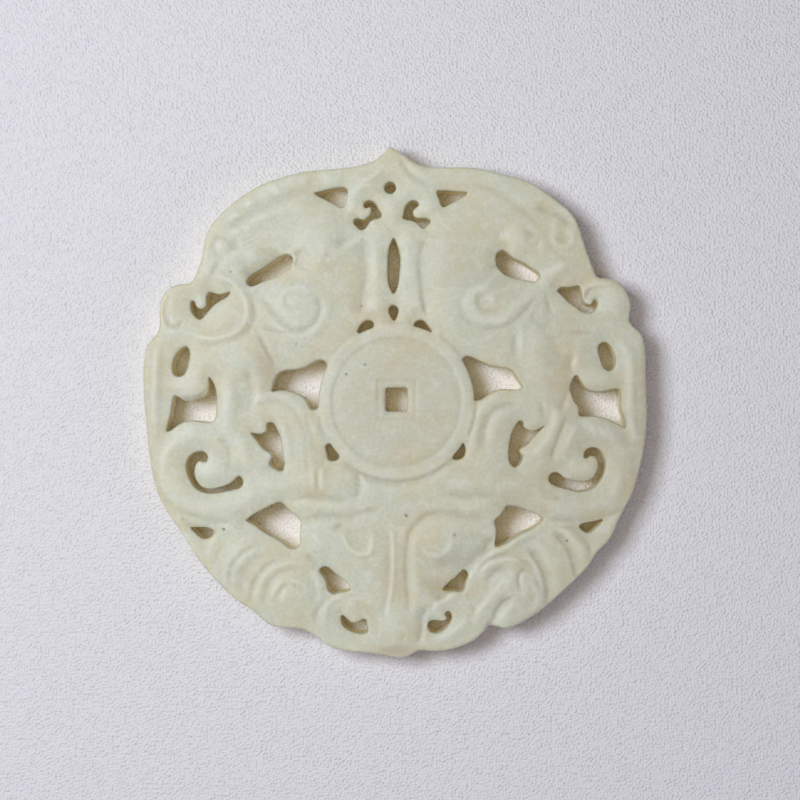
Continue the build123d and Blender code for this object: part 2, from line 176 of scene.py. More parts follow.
wall_normals = np.vstack([inward(ring) for ring in walls])
print(len(wall_spots), "wall corners, rim", round(len(walls[0]) * RING_STEP, 1), "mm round")

# %% [markdown]
# ## The net of points that will be carved
# Carving is moving points up and down, so the front needs many of them, and most where the surface turns
# fastest: at the rounded edges. Rows of points follow every wall at small distances, and a plain
# triangular net fills the rest. A remesh would be quicker to write, but it would blur the walls.

# %% Measure how far points are from the walls
WALL_REACH = 4.0
FAR = 99.0
PAIRS_AT_ONCE = 4_000_000

def wall_distance(points, only_rim):
    """Distance in millimetres from each point to the rim's wall, or to the nearest gap's wall."""
    best = np.full(len(points), FAR)
    for number, ring in enumerate(walls):
        if (number == 0) != only_rim:
            continue
        lowest, highest = ring.min(0) - WALL_REACH, ring.max(0) + WALL_REACH
        near = np.flatnonzero(((points > lowest) & (points < highest)).all(axis=1))
        closed = np.vstack([ring, ring[:1]])
        for part in np.array_split(near, max(1, len(near) * len(ring) // PAIRS_AT_ONCE)):
            best[part] = np.minimum(best[part], nearest_on(points[part], closed)[0])
    return best

def nearest_on(points, line):
    """For each point: its distance to the line, how far along the line, and its side, 1 for the left."""
    start, way = line[:-1], np.diff(line, axis=0)
    length = np.linalg.norm(way, axis=1)
    away = points[:, None, :] - start[None]
    share = np.clip((away * way).sum(-1) / (length ** 2), 0, 1)
    gap = away - share[..., None] * way
    distance = np.hypot(gap[..., 0], gap[..., 1])
    best = distance.argmin(axis=1)
    row = np.arange(len(points))
    run = np.concatenate([[0], np.cumsum(length)])
    along = run[best] + share[row, best] * length[best]
    side = np.sign(way[best, 0] * away[row, best, 1] - way[best, 1] * away[row, best, 0])
    return distance[row, best], along, side

on_coin = np.array([[5.0, 5.0]])
print("a spot on the coin is", round(float(wall_distance(on_coin, False)[0]), 2), "mm from the nearest gap")

# %% [markdown]
# Whether a point is jade or air is found as a ruler would find it: a level line through the point is
# followed, and each wall it crosses swaps jade for air. Asking which side of the nearest wall a point is
# on would be shorter, but it goes wrong beside sharp corners.

# %% Tell jade from air
wall_ends = np.vstack([np.roll(ring, -1, axis=0) for ring in walls])

def crossings(y):
    """Where the level line at this height crosses the walls."""
    crossed = (wall_spots[:, 1] > y) != (wall_ends[:, 1] > y)
    start, end = wall_spots[crossed], wall_ends[crossed]
    return start[:, 0] + (y - start[:, 1]) / (end[:, 1] - start[:, 1]) * (end[:, 0] - start[:, 0])

def in_jade(points):
    """True for each point that lies in the jade."""
    return np.array([(crossings(y) > x).sum() % 2 == 1 for x, y in points], bool)

def row_in_jade(across, y):
    """The same for a whole row of points at one height."""
    return np.searchsorted(np.sort(crossings(y)), across) % 2 == 1

print("the coin is jade:", bool(in_jade(on_coin)[0]))

# %% [markdown]
# The rows beside the walls are close together, so that the rounded edges come out smooth. A row point that
# falls in air, or nearer to another wall than to its own, is left out. The points of a row crowd in tight
# bends, which would make slivers, so they are thinned there.

# %% Lay rows along the walls
EDGE_ROWS = (0.05, 0.13, 0.25, 0.42, 0.65, 0.9)
ROW_CLEARANCE = 0.8
ROW_SPACING = 0.6

def thinned(points, apart):
    """The points that keep the given distance from those before them."""
    kept = []
    filled = {}
    for x, y in points:
        column, row = int(x // apart), int(y // apart)
        near = [spot for across in (-1, 0, 1) for up in (-1, 0, 1)
                for spot in filled.get((column + across, row + up), ())]
        if all((x - other[0]) ** 2 + (y - other[1]) ** 2 > apart ** 2 for other in near):
            filled.setdefault((column, row), []).append((x, y))
            kept.append((x, y))
    return np.array(kept)

net_rows = []
for away in EDGE_ROWS:
    row = wall_spots + away * wall_normals
    row = row[in_jade(row)]
    nearest = np.minimum(wall_distance(row, True), wall_distance(row, False))
    net_rows.append(thinned(row[nearest > ROW_CLEARANCE * away], ROW_SPACING * RING_STEP))
edge_count = sum(len(row) for row in net_rows)
print(edge_count, "points in", len(EDGE_ROWS), "rows beside the walls")

# %% [markdown]
# The net between the rows is as fine as the narrowest groove needs. Every second row is set off by half a
# step, so that its triangles are even. A square grid would show stairs along slanting strokes.

# %% Lay a net between the rows
NET_STEP = 0.26

row_height = NET_STEP * math.sqrt(3) / 2
for number, y in enumerate(np.arange(-half_height, half_height, row_height)):
    across = np.arange(-half_width, half_width, NET_STEP) + (number % 2) * NET_STEP / 2
    across = across[row_in_jade(across, y)]
    net_rows.append(np.column_stack([across, np.full(len(across), y)]))
inner_spots = np.vstack(net_rows)
rim_gap = wall_distance(inner_spots, True)
hole_gap = wall_distance(inner_spots, False)
nearest = np.minimum(rim_gap, hole_gap)
kept = (np.arange(len(inner_spots)) < edge_count) | (nearest > EDGE_ROWS[-1] + 0.5 * NET_STEP)
spots = np.vstack([wall_spots, inner_spots[kept]])
rim_gap = np.concatenate([wall_distance(wall_spots, True), rim_gap[kept]])
hole_gap = np.concatenate([wall_distance(wall_spots, False), hole_gap[kept]])
print(len(spots), "points in the net")

# %% [markdown]
# The points are joined into triangles that keep every wall as an edge. The triangles that fall in the
# gaps or outside have all their corners on walls, so only those need the test for air.

# %% Join the points into triangles
wall_edges = []
first = 0
for ring in walls:
    wall_edges += [(first + corner, first + (corner + 1) % len(ring)) for corner in range(len(ring))]
    first += len(ring)
joined = delaunay_2d_cdt([Vector(spot) for spot in spots.tolist()], wall_edges, [], 0, 1e-6)
corners = np.array(joined[0])
triangles = np.array(joined[2])
on_walls = (triangles < len(wall_spots)).all(axis=1)
middles = corners[triangles[on_walls]].mean(axis=1)
kept = np.ones(len(triangles), bool)
kept[np.flatnonzero(on_walls)[~in_jade(middles)]] = False
triangles = triangles[kept]
print(len(corners), "corners and", len(triangles), "triangles on the front, moved by at most",
      round(float(np.abs(corners[:len(spots)] - spots).max()), 6), "mm")

# %% [markdown]
# ## The carver's three moves
# A carver of that time had small wheels that spin in wet grit. A wheel held at a slant cuts a groove with
# one steep side and one wide, gentle side. Two cuts side by side leave a ridge between them, and a broad
# wheel leaves hollows and round humps. So the carving is three kinds of move, and each stroke is written
# down with its depth, its width and its route. A bump map would be less work, but it throws no
# shadow and shows no profile from the side, so the points themselves are moved.

# %% Draw a smooth route through places
LET_DOWN_RUN = 1.5
LIGHT_TOUCH = 0.15

def smooth_route(places, step=0.25):
    """A smooth line through the places, as points about a step apart in millimetres."""
    marks = place(places)
    marks = np.vstack([2 * marks[0] - marks[1], marks, 2 * marks[-1] - marks[-2]])
    line = []
    for before, start, end, after in zip(marks, marks[1:], marks[2:], marks[3:]):
        count = max(2, int(np.linalg.norm(end - start) / step))
        share = (np.arange(count) / count)[:, None]
        line.append(0.5 * (2 * start + (end - before) * share
                           + (2 * before - 5 * start + 4 * end - after) * share ** 2
                           + (3 * start - before - 3 * end + after) * share ** 3))
    line.append(marks[-2:-1])
    return np.vstack(line)

def beside_route(places, reach):
    """The points near a route: their numbers, distances, sides and how far the wheel is let down."""
    line = smooth_route(places)
    lowest, highest = line.min(0) - reach, line.max(0) + reach
    near = np.flatnonzero(((spots > lowest) & (spots < highest)).all(axis=1))
    distance, along, side = nearest_on(spots[near], line)
    whole = np.linalg.norm(np.diff(line, axis=0), axis=1).sum()
    share = np.clip(np.minimum(along, whole - along) / min(LET_DOWN_RUN, whole / 3), 0, 1)
    return near, distance, side, LIGHT_TOUCH + (1 - LIGHT_TOUCH) * share ** 2 * (3 - 2 * share)

print("a route of two places 10 apart has", len(smooth_route([(0, 0), (10, 0)])), "points")

# %% [markdown]
# Where two grooves cross, the deeper one rules and the corner between them is rubbed soft. Adding their
# depths would dig a pit there, so the depths are joined by their cubes instead.

# %% Cut grooves, leave ridges, and raise or sink humps
GROOVE_ROUND = 0.09
RIDGE_REACH = 3
HUMP_REACH = 1.8
cut_cubed = np.zeros(len(spots))
rise = np.zeros(len(spots))

def chip(near, depth, share):
    """Takes stone away: all the depth where share is 0, and none where it is 1."""
    cut_cubed[near] += (depth * (1 - np.clip(share, 0, 1)) ** 2) ** 3

def oval_share(across, up, turn, middle):
    """The squared distance from the middle of a turned oval: 0 in the middle and 1 on the oval."""
    away = spots - place([middle])[0]
    cosine, sine = math.cos(math.radians(turn)), math.sin(math.radians(turn))
    return (((away[:, 0] * cosine + away[:, 1] * sine) / across) ** 2
            + ((away[:, 1] * cosine - away[:, 0] * sine) / up) ** 2)

def carve(grooves, ridges, humps):
    """Grooves are (depth, left width, right width, route), ridges (height, half width, route), and humps
    (height, half length across and up, turn in degrees, middle). Left is the left hand along the route."""
    for depth, left, right, route in grooves.values():
        near, distance, side, let_down = beside_route(route, max(left, right))
        rounded = np.sqrt(distance ** 2 + GROOVE_ROUND ** 2) - GROOVE_ROUND
        chip(near, depth * let_down, rounded / np.where(side > 0, left, right))
    for height, width, route in ridges.values():
        near, distance, side, let_down = beside_route(route, RIDGE_REACH * width)
        rise[near] += height * let_down * np.exp(-(distance / width) ** 2)
    for height, *oval in humps.values():
        rise[:] += height * np.clip(1 - oval_share(*oval) / HUMP_REACH, 0, 1) ** 2
    print(len(grooves), "grooves,", len(ridges), "ridges and", len(humps), "humps; so far down to",
          round(float(np.cbrt(cut_cubed.max())), 2), "and up to", round(float(rise.max()), 2), "mm")

print(len(spots), "points are still level")

# %% [markdown]
# ## The big forms
# Before any line is drawn, a carver roughs out the big forms: the bodies swell, and the stone is lowered
# where one form passes behind another or falls towards a gap. These moves are wide and deep. The finer
# strokes of each figure follow below, figure by figure.

# %% Rough out the big forms
ROUGH_GROOVES = {
    "left_gap": (2.2, 3.4, 0.8, [(-59.5, 45.5), (-54, 50.1), (-48, 54.8), (-43.5, 57.8)]),
    "left_gap_end": (0.8, 3.4, 0.9, [(-40.5, 60), (-38.5, 56.5), (-40.5, 52)]),
    "left_side": (0.75, 4.4, 2.4, [(-14.5, 33), (-12.8, 42), (-11.7, 50), (-12, 58), (-14.5, 64.5)]),
    "right_side": (0.45, 0.9, 3.6, [(12, 33), (11, 42), (10, 50), (10, 58), (12.5, 66)]),
    "right_gap": (1.2, 3.0, 0.6, [(42, 50), (41.3, 54), (42.6, 57), (46.5, 56.5)]),
    "right_cheek": (1.1, 1.1, 3.8, [(39.5, -51), (36, -58), (29.5, -64.5), (22.5, -72), (15.5, -79)]),
    "left_cheek": (0.4, 0.7, 1.6, [(-37, -57.5), (-32.5, -62), (-29, -67)]),
    "left_shin": (0.4, 1.0, 2.6, [(-60, 14), (-57.5, 8), (-57, 2), (-59, -6)]),
    "right_arm": (0.55, 0.9, 2.6, [(70.5, 21), (69.5, 14), (69.8, 8), (67.5, 1), (64.5, -5)]),
    "left_bar_end": (0.45, 0.9, 2.1, [(-17.5, -24.5), (-15, -27.5), (-14, -31.5), (-14.7, -35.5),
        (-18, -38)]),
    "left_scroll": (0.25, 0.9, 1.8, [(-36.5, -3), (-34.3, -9), (-32.5, -15), (-31.5, -21.5)]),
    "right_scroll": (0.3, 0.7, 1.6, [(33.7, -21), (33.5, -14), (34.7, -8), (38, -3), (43, 0)]),
    "muzzle": (0.65, 0.9, 1.6, [(13.5, -78.5), (11, -84), (10.3, -90), (8.5, -96)]),
    "left_paw": (1.2, 0.8, 1.6, [(-86, 2.3), (-81, 1.2), (-77, 2.5), (-74.3, 6)]),
    "right_head": (0.55, 2.2, 1.4, [(54, 76.5), (60, 75), (66, 72.5), (71, 68)]),
    "left_lip": (0.36, 1.0, 0.9, [(-39, -46.3), (-30, -45), (-20, -45), (-12, -43.3)]),
    "right_lip": (0.30, 1.0, 1.0, [(7.5, -49), (11, -45.5), (16, -43.8), (22, -43.3), (30, -45),
        (39, -46)]),
    "right_ear": (0.8, 0.8, 1.4, [(75.3, 37.5), (75.7, 42), (78.5, 46)]),
}
ROUGH_HUMPS = {
    "chest": (0.55, 2.6, 4.0, -20, (-31, 62)),
    "left_haunch": (0.40, 4.0, 3.6, 0, (-40, 36)),
    "left_lobe": (0.45, 2.8, 2.2, 15, (-66, 36)),
    "left_thigh": (0.30, 2.4, 3.0, 0, (-62, 19)),
    "left_leg": (0.35, 1.3, 3.6, 0, (-67, 0)),
    "right_body": (0.40, 3.4, 7.0, 0, (21, 42)),
    "right_haunch": (0.30, 4.4, 3.6, 0, (38, 37)),
    "right_flank": (0.45, 1.9, 4.2, 10, (56, 19)),
    "right_head": (0.40, 2.2, 2.4, 0, (49, 65)),
    "right_ear": (0.42, 2.0, 2.2, 0, (86, 41)),
    "left_face": (0.14, 3.4, 2.6, -30, (-24, -55)),
    "right_face": (0.45, 3.0, 2.2, 35, (18, -53)),
    "left_fan": (0.45, 3.4, 3.0, -45, (-43, -74)),
    "left_fan_two": (0.25, 2.6, 2.6, -45, (-61, -60)),
    "right_fan": (0.55, 3.0, 3.4, 30, (49, -73)),
    "right_fan_two": (0.40, 2.2, 3.0, 30, (61, -63)),
    "right_fan_three": (0.30, 1.4, 2.4, 30, (71, -56)),
    "muzzle": (0.45, 2.0, 2.6, 0, (0, -87)),
    "left_mane": (0.30, 3.2, 1.1, 25, (-45, 85)),
}
carve(ROUGH_GROOVES, {}, ROUGH_HUMPS)

# %% [markdown]
# ## The crown and the two legs under it
# The peak holds the string hole between two curled clouds. Below it the forelegs of the two beasts stand
# side by side as raised straps, and each strap has its own groove along the outside.

# %% Carve the crown and the straps
CROWN_GROOVES = {
    "left_line": (0.16, 0.4, 0.4, [(-17.5, 82.5), (-15, 84.8), (-11, 86), (-8, 87.8), (-5, 90.5),
        (-3.5, 93)]),
    "left_notch": (0.22, 0.5, 0.6, [(-5, 72.5), (-3.5, 69), (-1.5, 66.5), (-0.5, 64.5)]),
    "right_notch": (0.10, 0.4, 0.4, [(4.5, 72), (3, 69), (1, 66.5)]),
    "right_edge": (0.30, 0.7, 1.1, [(0.5, 98.5), (3, 94), (5.5, 90), (9, 87), (14, 85), (17, 84.3)]),
    "right_rim": (0.20, 0.6, 0.6, [(4.5, 96.5), (8, 94), (12, 92), (17, 91.8)]),
    "right_cloud_tail": (0.24, 0.5, 0.5, [(18.5, 77.3), (15.5, 75.8), (14, 73.5), (14.2, 72)]),
    "left_throat": (0.38, 0.8, 2.4, [(-14.5, 68), (-16.5, 65), (-20, 62.7), (-25, 60.5)]),
    "right_throat": (0.26, 0.8, 0.7, [(12, 68), (14.5, 65.3), (18, 63.8)]),
    "left_strap": (0.22, 0.6, 1.6, [(-13.5, 62), (-11.7, 58), (-10.8, 53.5), (-11, 48.5), (-12.7, 43.5),
        (-14.5, 38)]),
    "right_strap": (0.15, 0.9, 0.7, [(8.3, 62), (8.1, 56), (9, 51.5), (10, 47), (11, 42), (11.8, 37)]),
    "right_strap_foot": (0.60, 0.8, 0.7, [(10.3, 45), (11, 41), (11.8, 37), (12.5, 32)]),
    "right_ankle": (0.16, 0.35, 0.35, [(3, 41), (7, 41.3), (10, 42)]),
}
CROWN_RIDGES = {
    "left_upper": (0.22, 0.35, [(-16.5, 84.3), (-12.5, 86.3), (-8.5, 88.5), (-5.5, 91.3), (-4, 93.5)]),
    "left_lower": (0.20, 0.35, [(-17.7, 80), (-16.5, 82.5), (-13, 84.4), (-9, 85.3), (-6.5, 86.7)]),
    "left_side": (0.20, 0.45, [(-17.8, 79.5), (-17.6, 77), (-19, 74.5)]),
    "post": (0.10, 0.4, [(-2.5, 82), (-2.7, 77), (-2.5, 72)]),
    "left_strap": (0.17, 0.75, [(-10, 59.5), (-8.9, 55), (-8.4, 51), (-9, 46)]),
    "left_ankle": (0.16, 0.8, [(-13, 38.5), (-8, 39), (-3, 40)]),
    "right_strap": (0.22, 0.8, [(4.6, 67), (4.4, 60), (4.8, 52), (6, 46)]),
    "right_ridge": (0.12, 0.5, [(5, 93.5), (8, 91), (11, 88.3), (15, 86.5)]),
}
CROWN_HUMPS = {
    "left_ball": (0.16, 0.9, 0.9, 0, (-13, 75.7)),
    "right_ball": (0.18, 1.1, 0.9, 0, (12, 76)),
    "right_foot": (0.26, 1.3, 1.3, 0, (6.3, 40)),
    "left_foot": (0.20, 1.4, 1.0, 0, (-8, 38.5)),
}
carve(CROWN_GROOVES, CROWN_RIDGES, CROWN_HUMPS)

# %% [markdown]
# ## The left beast
# It lies along the edge with its head turned out. Its mane runs over its back in short locks, and its jaw
# is a lobe with a thin raised lip. A groove alone would leave a step there, so a narrow ridge runs beside
# it and makes the lip.

# %% Carve the left beast's head and mane
LEFT_HEAD_GROOVES = {
    "mane": (0.26, 0.9, 1.8, [(-31, 83), (-37, 82), (-43, 80), (-50, 76.5), (-56, 74), (-60, 71.5),
        (-64, 69.5), (-67, 67)]),
    "jaw": (0.20, 0.6, 0.7, [(-64.5, 46.5), (-60, 43.5), (-56.8, 39.5), (-55.5, 35), (-56.3, 30.8),
        (-59, 27), (-63, 24.8), (-69, 23), (-75, 22.3), (-81, 23.8)]),
    "ear": (0.30, 0.6, 0.6, [(-88, 42.5), (-91, 39), (-91.5, 34), (-89.5, 30.2), (-86.5, 29.4),
        (-84.5, 31.5), (-85.3, 34)]),
    "snout": (0.22, 0.5, 0.9, [(-69, 56), (-71.3, 52), (-73.3, 48), (-74.5, 44.5)]),
    "snout_line": (0.12, 0.35, 0.4, [(-72.7, 64), (-73, 59.5), (-73.3, 55.5)]),
    "eye": (0.24, 0.4, 0.4, [(-66.5, 64), (-70, 64.8), (-72, 61.5), (-71, 58), (-67.5, 57)]),
    "hair_one": (0.15, 0.25, 0.25, [(-61.5, 62.5), (-58, 64), (-54.5, 66.3)]),
    "hair_two": (0.15, 0.25, 0.25, [(-61.5, 60.9), (-57.5, 62.3), (-53.5, 64.5)]),
    "hair_three": (0.15, 0.25, 0.25, [(-60.5, 59.3), (-56.5, 60.6), (-53, 62.3)]),
    "neck": (0.12, 0.4, 0.4, [(-29, 54.5), (-27.7, 57), (-25.5, 59)]),
}
LEFT_HEAD_RIDGES = {
    "mane": (0.12, 0.7, [(-60, 66), (-55, 71), (-48, 75), (-40, 76), (-33, 78)]),
    "neck": (0.12, 0.6, [(-35.5, 66.5), (-32, 63.3), (-29.7, 59), (-30, 54)]),
    "jaw": (0.22, 0.32, [(-71, 49.3), (-66, 47.6), (-62.3, 44.9), (-59.7, 41), (-58.5, 36.5),
        (-59.3, 32), (-62, 28.3), (-67, 26), (-74, 24.9), (-80, 26.3)]),
    "ear": (0.10, 0.35, [(-92.9, 37), (-92.9, 33), (-91, 29.3), (-88.3, 27.6), (-84.5, 28)]),
    "cheek": (0.12, 0.45, [(-61.7, 60), (-63.7, 57.3), (-66.7, 55)]),
    "snout": (0.14, 0.6, [(-72.3, 56), (-73.7, 53), (-75, 49)]),
}
LEFT_HEAD_HUMPS = {
    "mane_one": (0.22, 0.8, 0.6, 40, (-57.5, 78)),
    "mane_two": (0.24, 0.8, 0.6, 45, (-63.5, 72.7)),
    "mane_three": (0.18, 0.7, 0.6, 50, (-63, 67)),
    "mane_four": (0.18, 1.0, 0.5, 120, (-47.3, 83)),
    "mane_five": (0.20, 0.8, 0.6, 60, (-36, 86.3)),
    "mane_six": (0.22, 1.3, 0.9, 0, (-26, 87)),
    "lock": (0.12, 1.1, 0.6, 20, (-53, 72.5)),
    "brow": (0.12, 0.6, 0.5, 0, (-59, 68.5)),
    "eye_ball": (0.30, 0.9, 0.9, 0, (-69, 61)),
    "eye_pit": (-0.26, 0.7, 0.7, 0, (-63.5, 61.5)),
    "cheek": (0.16, 0.9, 1.1, 20, (-57.3, 57)),
    "ear_ball": (0.12, 0.7, 0.7, 0, (-88, 32)),
    "chest": (0.18, 3.5, 4.5, -20, (-33, 64)),
}
carve(LEFT_HEAD_GROOVES, LEFT_HEAD_RIDGES, LEFT_HEAD_HUMPS)

# %% [markdown]
# Its body is a swollen haunch with a spiral, a thin leg and a broad paw. A formula could draw the spiral,
# but the real one was cut by eye and opens unevenly, so its route is given place by place.

# %% Carve the left beast's body
LEFT_BODY_GROOVES = {
    "belly": (0.36, 0.35, 0.6, [(-54.8, 28.5), (-53, 24.5), (-50.5, 20), (-48.3, 15.7), (-46.8, 12)]),
    "belly_hook": (0.26, 0.5, 0.5, [(-39, 26.8), (-45, 27.2), (-50, 28.2), (-54, 28.8)]),
    "thigh": (0.18, 0.4, 0.6, [(-75, 14.8), (-72, 13.5), (-69.3, 10.8), (-65.5, 8.7)]),
    "paw": (0.85, 0.9, 1.9, [(-87, 2.3), (-82, 0.8), (-78, 1.5), (-75, 4), (-73.3, 8.5)]),
    "haunch": (0.26, 0.8, 0.6, [(-54, 41), (-50.5, 38), (-47, 33.5), (-43, 29.5), (-39.5, 27.9),
        (-36, 28.3), (-32.3, 30.8), (-30, 35), (-30.2, 39), (-32.5, 42.5)]),
    "haunch_curl": (0.15, 0.4, 0.4, [(-37.5, 45), (-41.5, 44.5), (-43.5, 41), (-42.5, 37.5), (-39, 36.3),
        (-36.8, 38.5)]),
}
LEFT_BODY_RIDGES = {
    "haunch_inner": (0.14, 0.33, [(-44.8, 38.5), (-44, 42.5), (-40, 45.2), (-35.5, 44.3), (-33, 40.5)]),
    "side": (0.30, 0.5, [(-93.5, 22.5), (-94.7, 17), (-95.2, 8), (-95.6, -2), (-95, -12)]),
    "haunch": (0.12, 0.45, [(-49.5, 33.5), (-46.5, 29.7), (-42.5, 26.9), (-38.5, 25.4), (-34.5, 26),
        (-31, 28.5), (-28.3, 32), (-27, 36), (-27, 40.5)]),
    "thigh": (0.10, 0.4, [(-75.5, 16.3), (-71.5, 15.3), (-69, 13), (-67.3, 10.5)]),
    "shin": (0.14, 0.7, [(-67, 7), (-66.3, 2), (-67, -3), (-69.5, -8)]),
}
LEFT_BODY_HUMPS = {
    "paw": (0.34, 2.4, 1.9, 20, (-82.5, 8.5)),
    "shin_hollow": (-0.20, 1.6, 3.2, -10, (-60.5, 0)),
    "haunch": (0.20, 3.0, 3.0, 0, (-38.5, 37)),
}
carve(LEFT_BODY_GROOVES, LEFT_BODY_RIDGES, LEFT_BODY_HUMPS)

# %% [markdown]
# ## The right beast
# It faces the left one but isn't its mirror: the carver cut its eye as a ring with a hollow inside, and
# its ear is a dish with a small pit. A mirrored copy would be shorter to write, but it would lose that.

# %% Carve the right beast's head and mane
RIGHT_HEAD_GROOVES = {
    "mane": (0.24, 1.2, 1.1, [(26, 84.8), (33, 84.5), (39, 83), (45, 79.5), (50, 76), (55, 73.5)]),
    "mane_notch": (0.20, 0.7, 1.2, [(65, 80), (63.5, 77), (61.5, 73.5)]),
    "jaw": (0.24, 0.45, 0.55, [(61.5, 45.5), (60.2, 42), (60.5, 39), (62, 36), (64.3, 33.3)]),
    "jaw_pad": (0.14, 0.4, 0.5, [(57, 38), (54.8, 33), (57.5, 30.3), (61, 30.2), (62.5, 33.5)]),
    "ear": (0.26, 0.5, 0.6, [(76.3, 38.5), (76.2, 41.5), (78, 44), (81, 45), (85.5, 44.5)]),
    "eye": (0.22, 0.3, 0.3, [(57.2, 64.8), (56.5, 62.5), (55.3, 60.3)]),
    "brow": (0.14, 0.35, 0.4, [(51, 68), (54.3, 65.5), (56.3, 64.5)]),
    "temple": (0.18, 0.7, 0.7, [(47, 70.5), (42.5, 67), (40.3, 63), (40, 59.5)]),
    "hair_one": (0.18, 0.6, 0.6, [(62.5, 49), (66, 50.5), (70.5, 51.3)]),
    "hair_two": (0.14, 0.4, 0.5, [(60, 46.8), (64, 47.5), (68.5, 48.3)]),
}
RIGHT_HEAD_RIDGES = {
    "neck_one": (0.14, 0.5, [(57.5, 49.5), (61, 51.5), (65, 53.7), (69, 54.5), (72, 52.5)]),
    "neck_two": (0.12, 0.4, [(65, 46.7), (69, 49), (73, 50.8)]),
    "eye_ring": (0.17, 0.36, [(66.6, 68.3), (69.3, 67.2), (70.4, 64.6), (69.3, 62), (66.6, 60.9),
        (63.9, 62), (62.8, 64.6), (63.9, 67.2), (66.6, 68.3)]),
    "jaw_bone": (0.12, 0.45, [(59.5, 64.7), (58.5, 61), (57.3, 57)]),
    "ear": (0.20, 0.35, [(74.5, 41.5), (76, 44.3), (79, 46), (83, 46.7), (87, 46)]),
}
RIGHT_HEAD_HUMPS = {
    "temple": (0.26, 1.5, 2.0, 0, (47, 64.5)),
    "temple_pit": (-0.13, 0.9, 1.1, 0, (54, 64.5)),
    "eye_hollow": (-0.15, 0.7, 0.75, 0, (66.6, 64.6)),
    "ear_hollow": (-0.20, 1.1, 1.1, 0, (79.5, 40.5)),
    "ear_pit": (-0.45, 0.35, 0.45, 0, (79.4, 39.6)),
    "ear_ball": (0.12, 1.2, 1.6, 0, (88, 40)),
}
carve(RIGHT_HEAD_GROOVES, RIGHT_HEAD_RIDGES, RIGHT_HEAD_HUMPS)

# %% [markdown]
# A round rope winds from its neck into the haunch. One wide ridge makes it, and the grooves beside it set
# it off from the body.

# %% Carve the right beast's body
RIGHT_BODY_GROOVES = {
    "haunch": (0.16, 0.8, 0.6, [(38, 49), (32, 47), (28, 43.5), (26, 39), (27, 34), (30, 30.7), (34, 29)]),
    "haunch_foot": (0.25, 0.9, 0.5, [(33, 29.2), (38, 28.4), (43, 29.3), (47, 31.7), (50.5, 34.8),
        (53.5, 38), (56, 43)]),
    "haunch_curl": (0.12, 0.5, 0.6, [(37.5, 43), (34, 42.3), (32.8, 39.5), (34, 37), (38, 35.8), (42, 37)]),
    "belly": (0.25, 1.0, 1.2, [(44.5, 29), (47, 26.3), (47.5, 22), (47, 18), (46.3, 14.5)]),
    "shoulder": (0.10, 0.7, 0.7, [(65, 28.5), (70, 27.5), (75, 27.2), (80, 26)]),
    "arm": (0.18, 0.6, 0.8, [(70.3, 20), (69.8, 15), (71, 10.5)]),
    "paw": (0.45, 1.1, 1.0, [(77, 4.5), (81, 3.6), (86, 4.8)]),
}
RIGHT_BODY_RIDGES = {
    "belly": (0.13, 0.35, [(49.3, 31), (50, 27), (50, 22), (49.5, 16.5)]),
    "rope": (0.31, 0.85, [(70.5, 53.2), (64.5, 51.3), (58.5, 47.3), (52, 41.3), (46.5, 35.6), (41, 32.4),
        (35, 32.2), (31, 34.7), (29.3, 39), (31, 43), (35, 45.3), (39, 45)]),
    "arm": (0.12, 0.5, [(71, 18), (73, 14), (76.5, 10)]),
    "side": (0.36, 0.6, [(88, 24.5), (91.5, 20), (93, 14), (93.3, 5), (93.3, -4), (94.5, -12), (97, -17)]),
}
RIGHT_BODY_HUMPS = {
    "haunch": (0.15, 3.6, 3.2, 0, (40, 38)),
    "haunch_hollow": (-0.12, 0.9, 0.9, 0, (34, 40.3)),
    "haunch_bead": (0.20, 0.5, 0.9, 0, (38.7, 40)),
    "paw": (0.14, 1.8, 1.4, -20, (80, 10)),
}
carve(RIGHT_BODY_GROOVES, RIGHT_BODY_RIDGES, RIGHT_BODY_HUMPS)

# %% [markdown]
# ## The scrolls beside the coin
# A scroll rises on each side of the coin and curls over a leaf-shaped gap. Two ridges with a groove
# between them give its band the look of a folded strap.

# %% Carve the scrolls
SCROLL_GROOVES = {
    "left_line": (0.18, 0.8, 0.8, [(-58.5, -9), (-57.5, -4), (-53.5, -0.8), (-48.5, 0), (-43, -1),
        (-39, -4.5), (-36.5, -10), (-35.3, -17), (-35, -24.5)]),
    "left_root": (0.14, 0.4, 0.4, [(-35.3, -17), (-35, -21), (-34.5, -25), (-31, -25.2)]),
    "right_line": (0.42, 1.0, 1.0, [(35, -20), (35, -15), (35.7, -10), (37.5, -5.5), (40.5, -2.3),
        (45, -0.8), (50, -1.5)]),
    "right_root": (0.22, 0.8, 0.9, [(56.5, 2), (58.3, -3), (59.3, -8.5)]),
}
SCROLL_RIDGES = {
    "left_outer": (0.20, 0.5, [(-58.5, -3), (-55.5, 0.8), (-50.5, 3), (-44.5, 2.5), (-40, 0.5)]),
    "left_inner": (0.22, 0.5, [(-51.5, -5.3), (-48.5, -4.3), (-45.5, -8), (-43.7, -13), (-42.7, -19),
        (-43, -25)]),
    "right_outer": (0.18, 0.5, [(30, -22), (30.3, -15), (31, -10), (32.5, -5), (35, -1.3), (38.5, 1.5),
        (43, 3.5)]),
    "right_inner": (0.14, 0.9, [(38.5, -17), (39.5, -11.5), (42, -6.3), (46.5, -3.3)]),
}
carve(SCROLL_GROOVES, SCROLL_RIDGES, {})

# %% [markdown]
# ## The tails
# Each tail is a round tube that curls round a ball at the edge of the disc. A broad ridge gives the tube
# its round back, a thin one its crest, and a hump makes the ball.

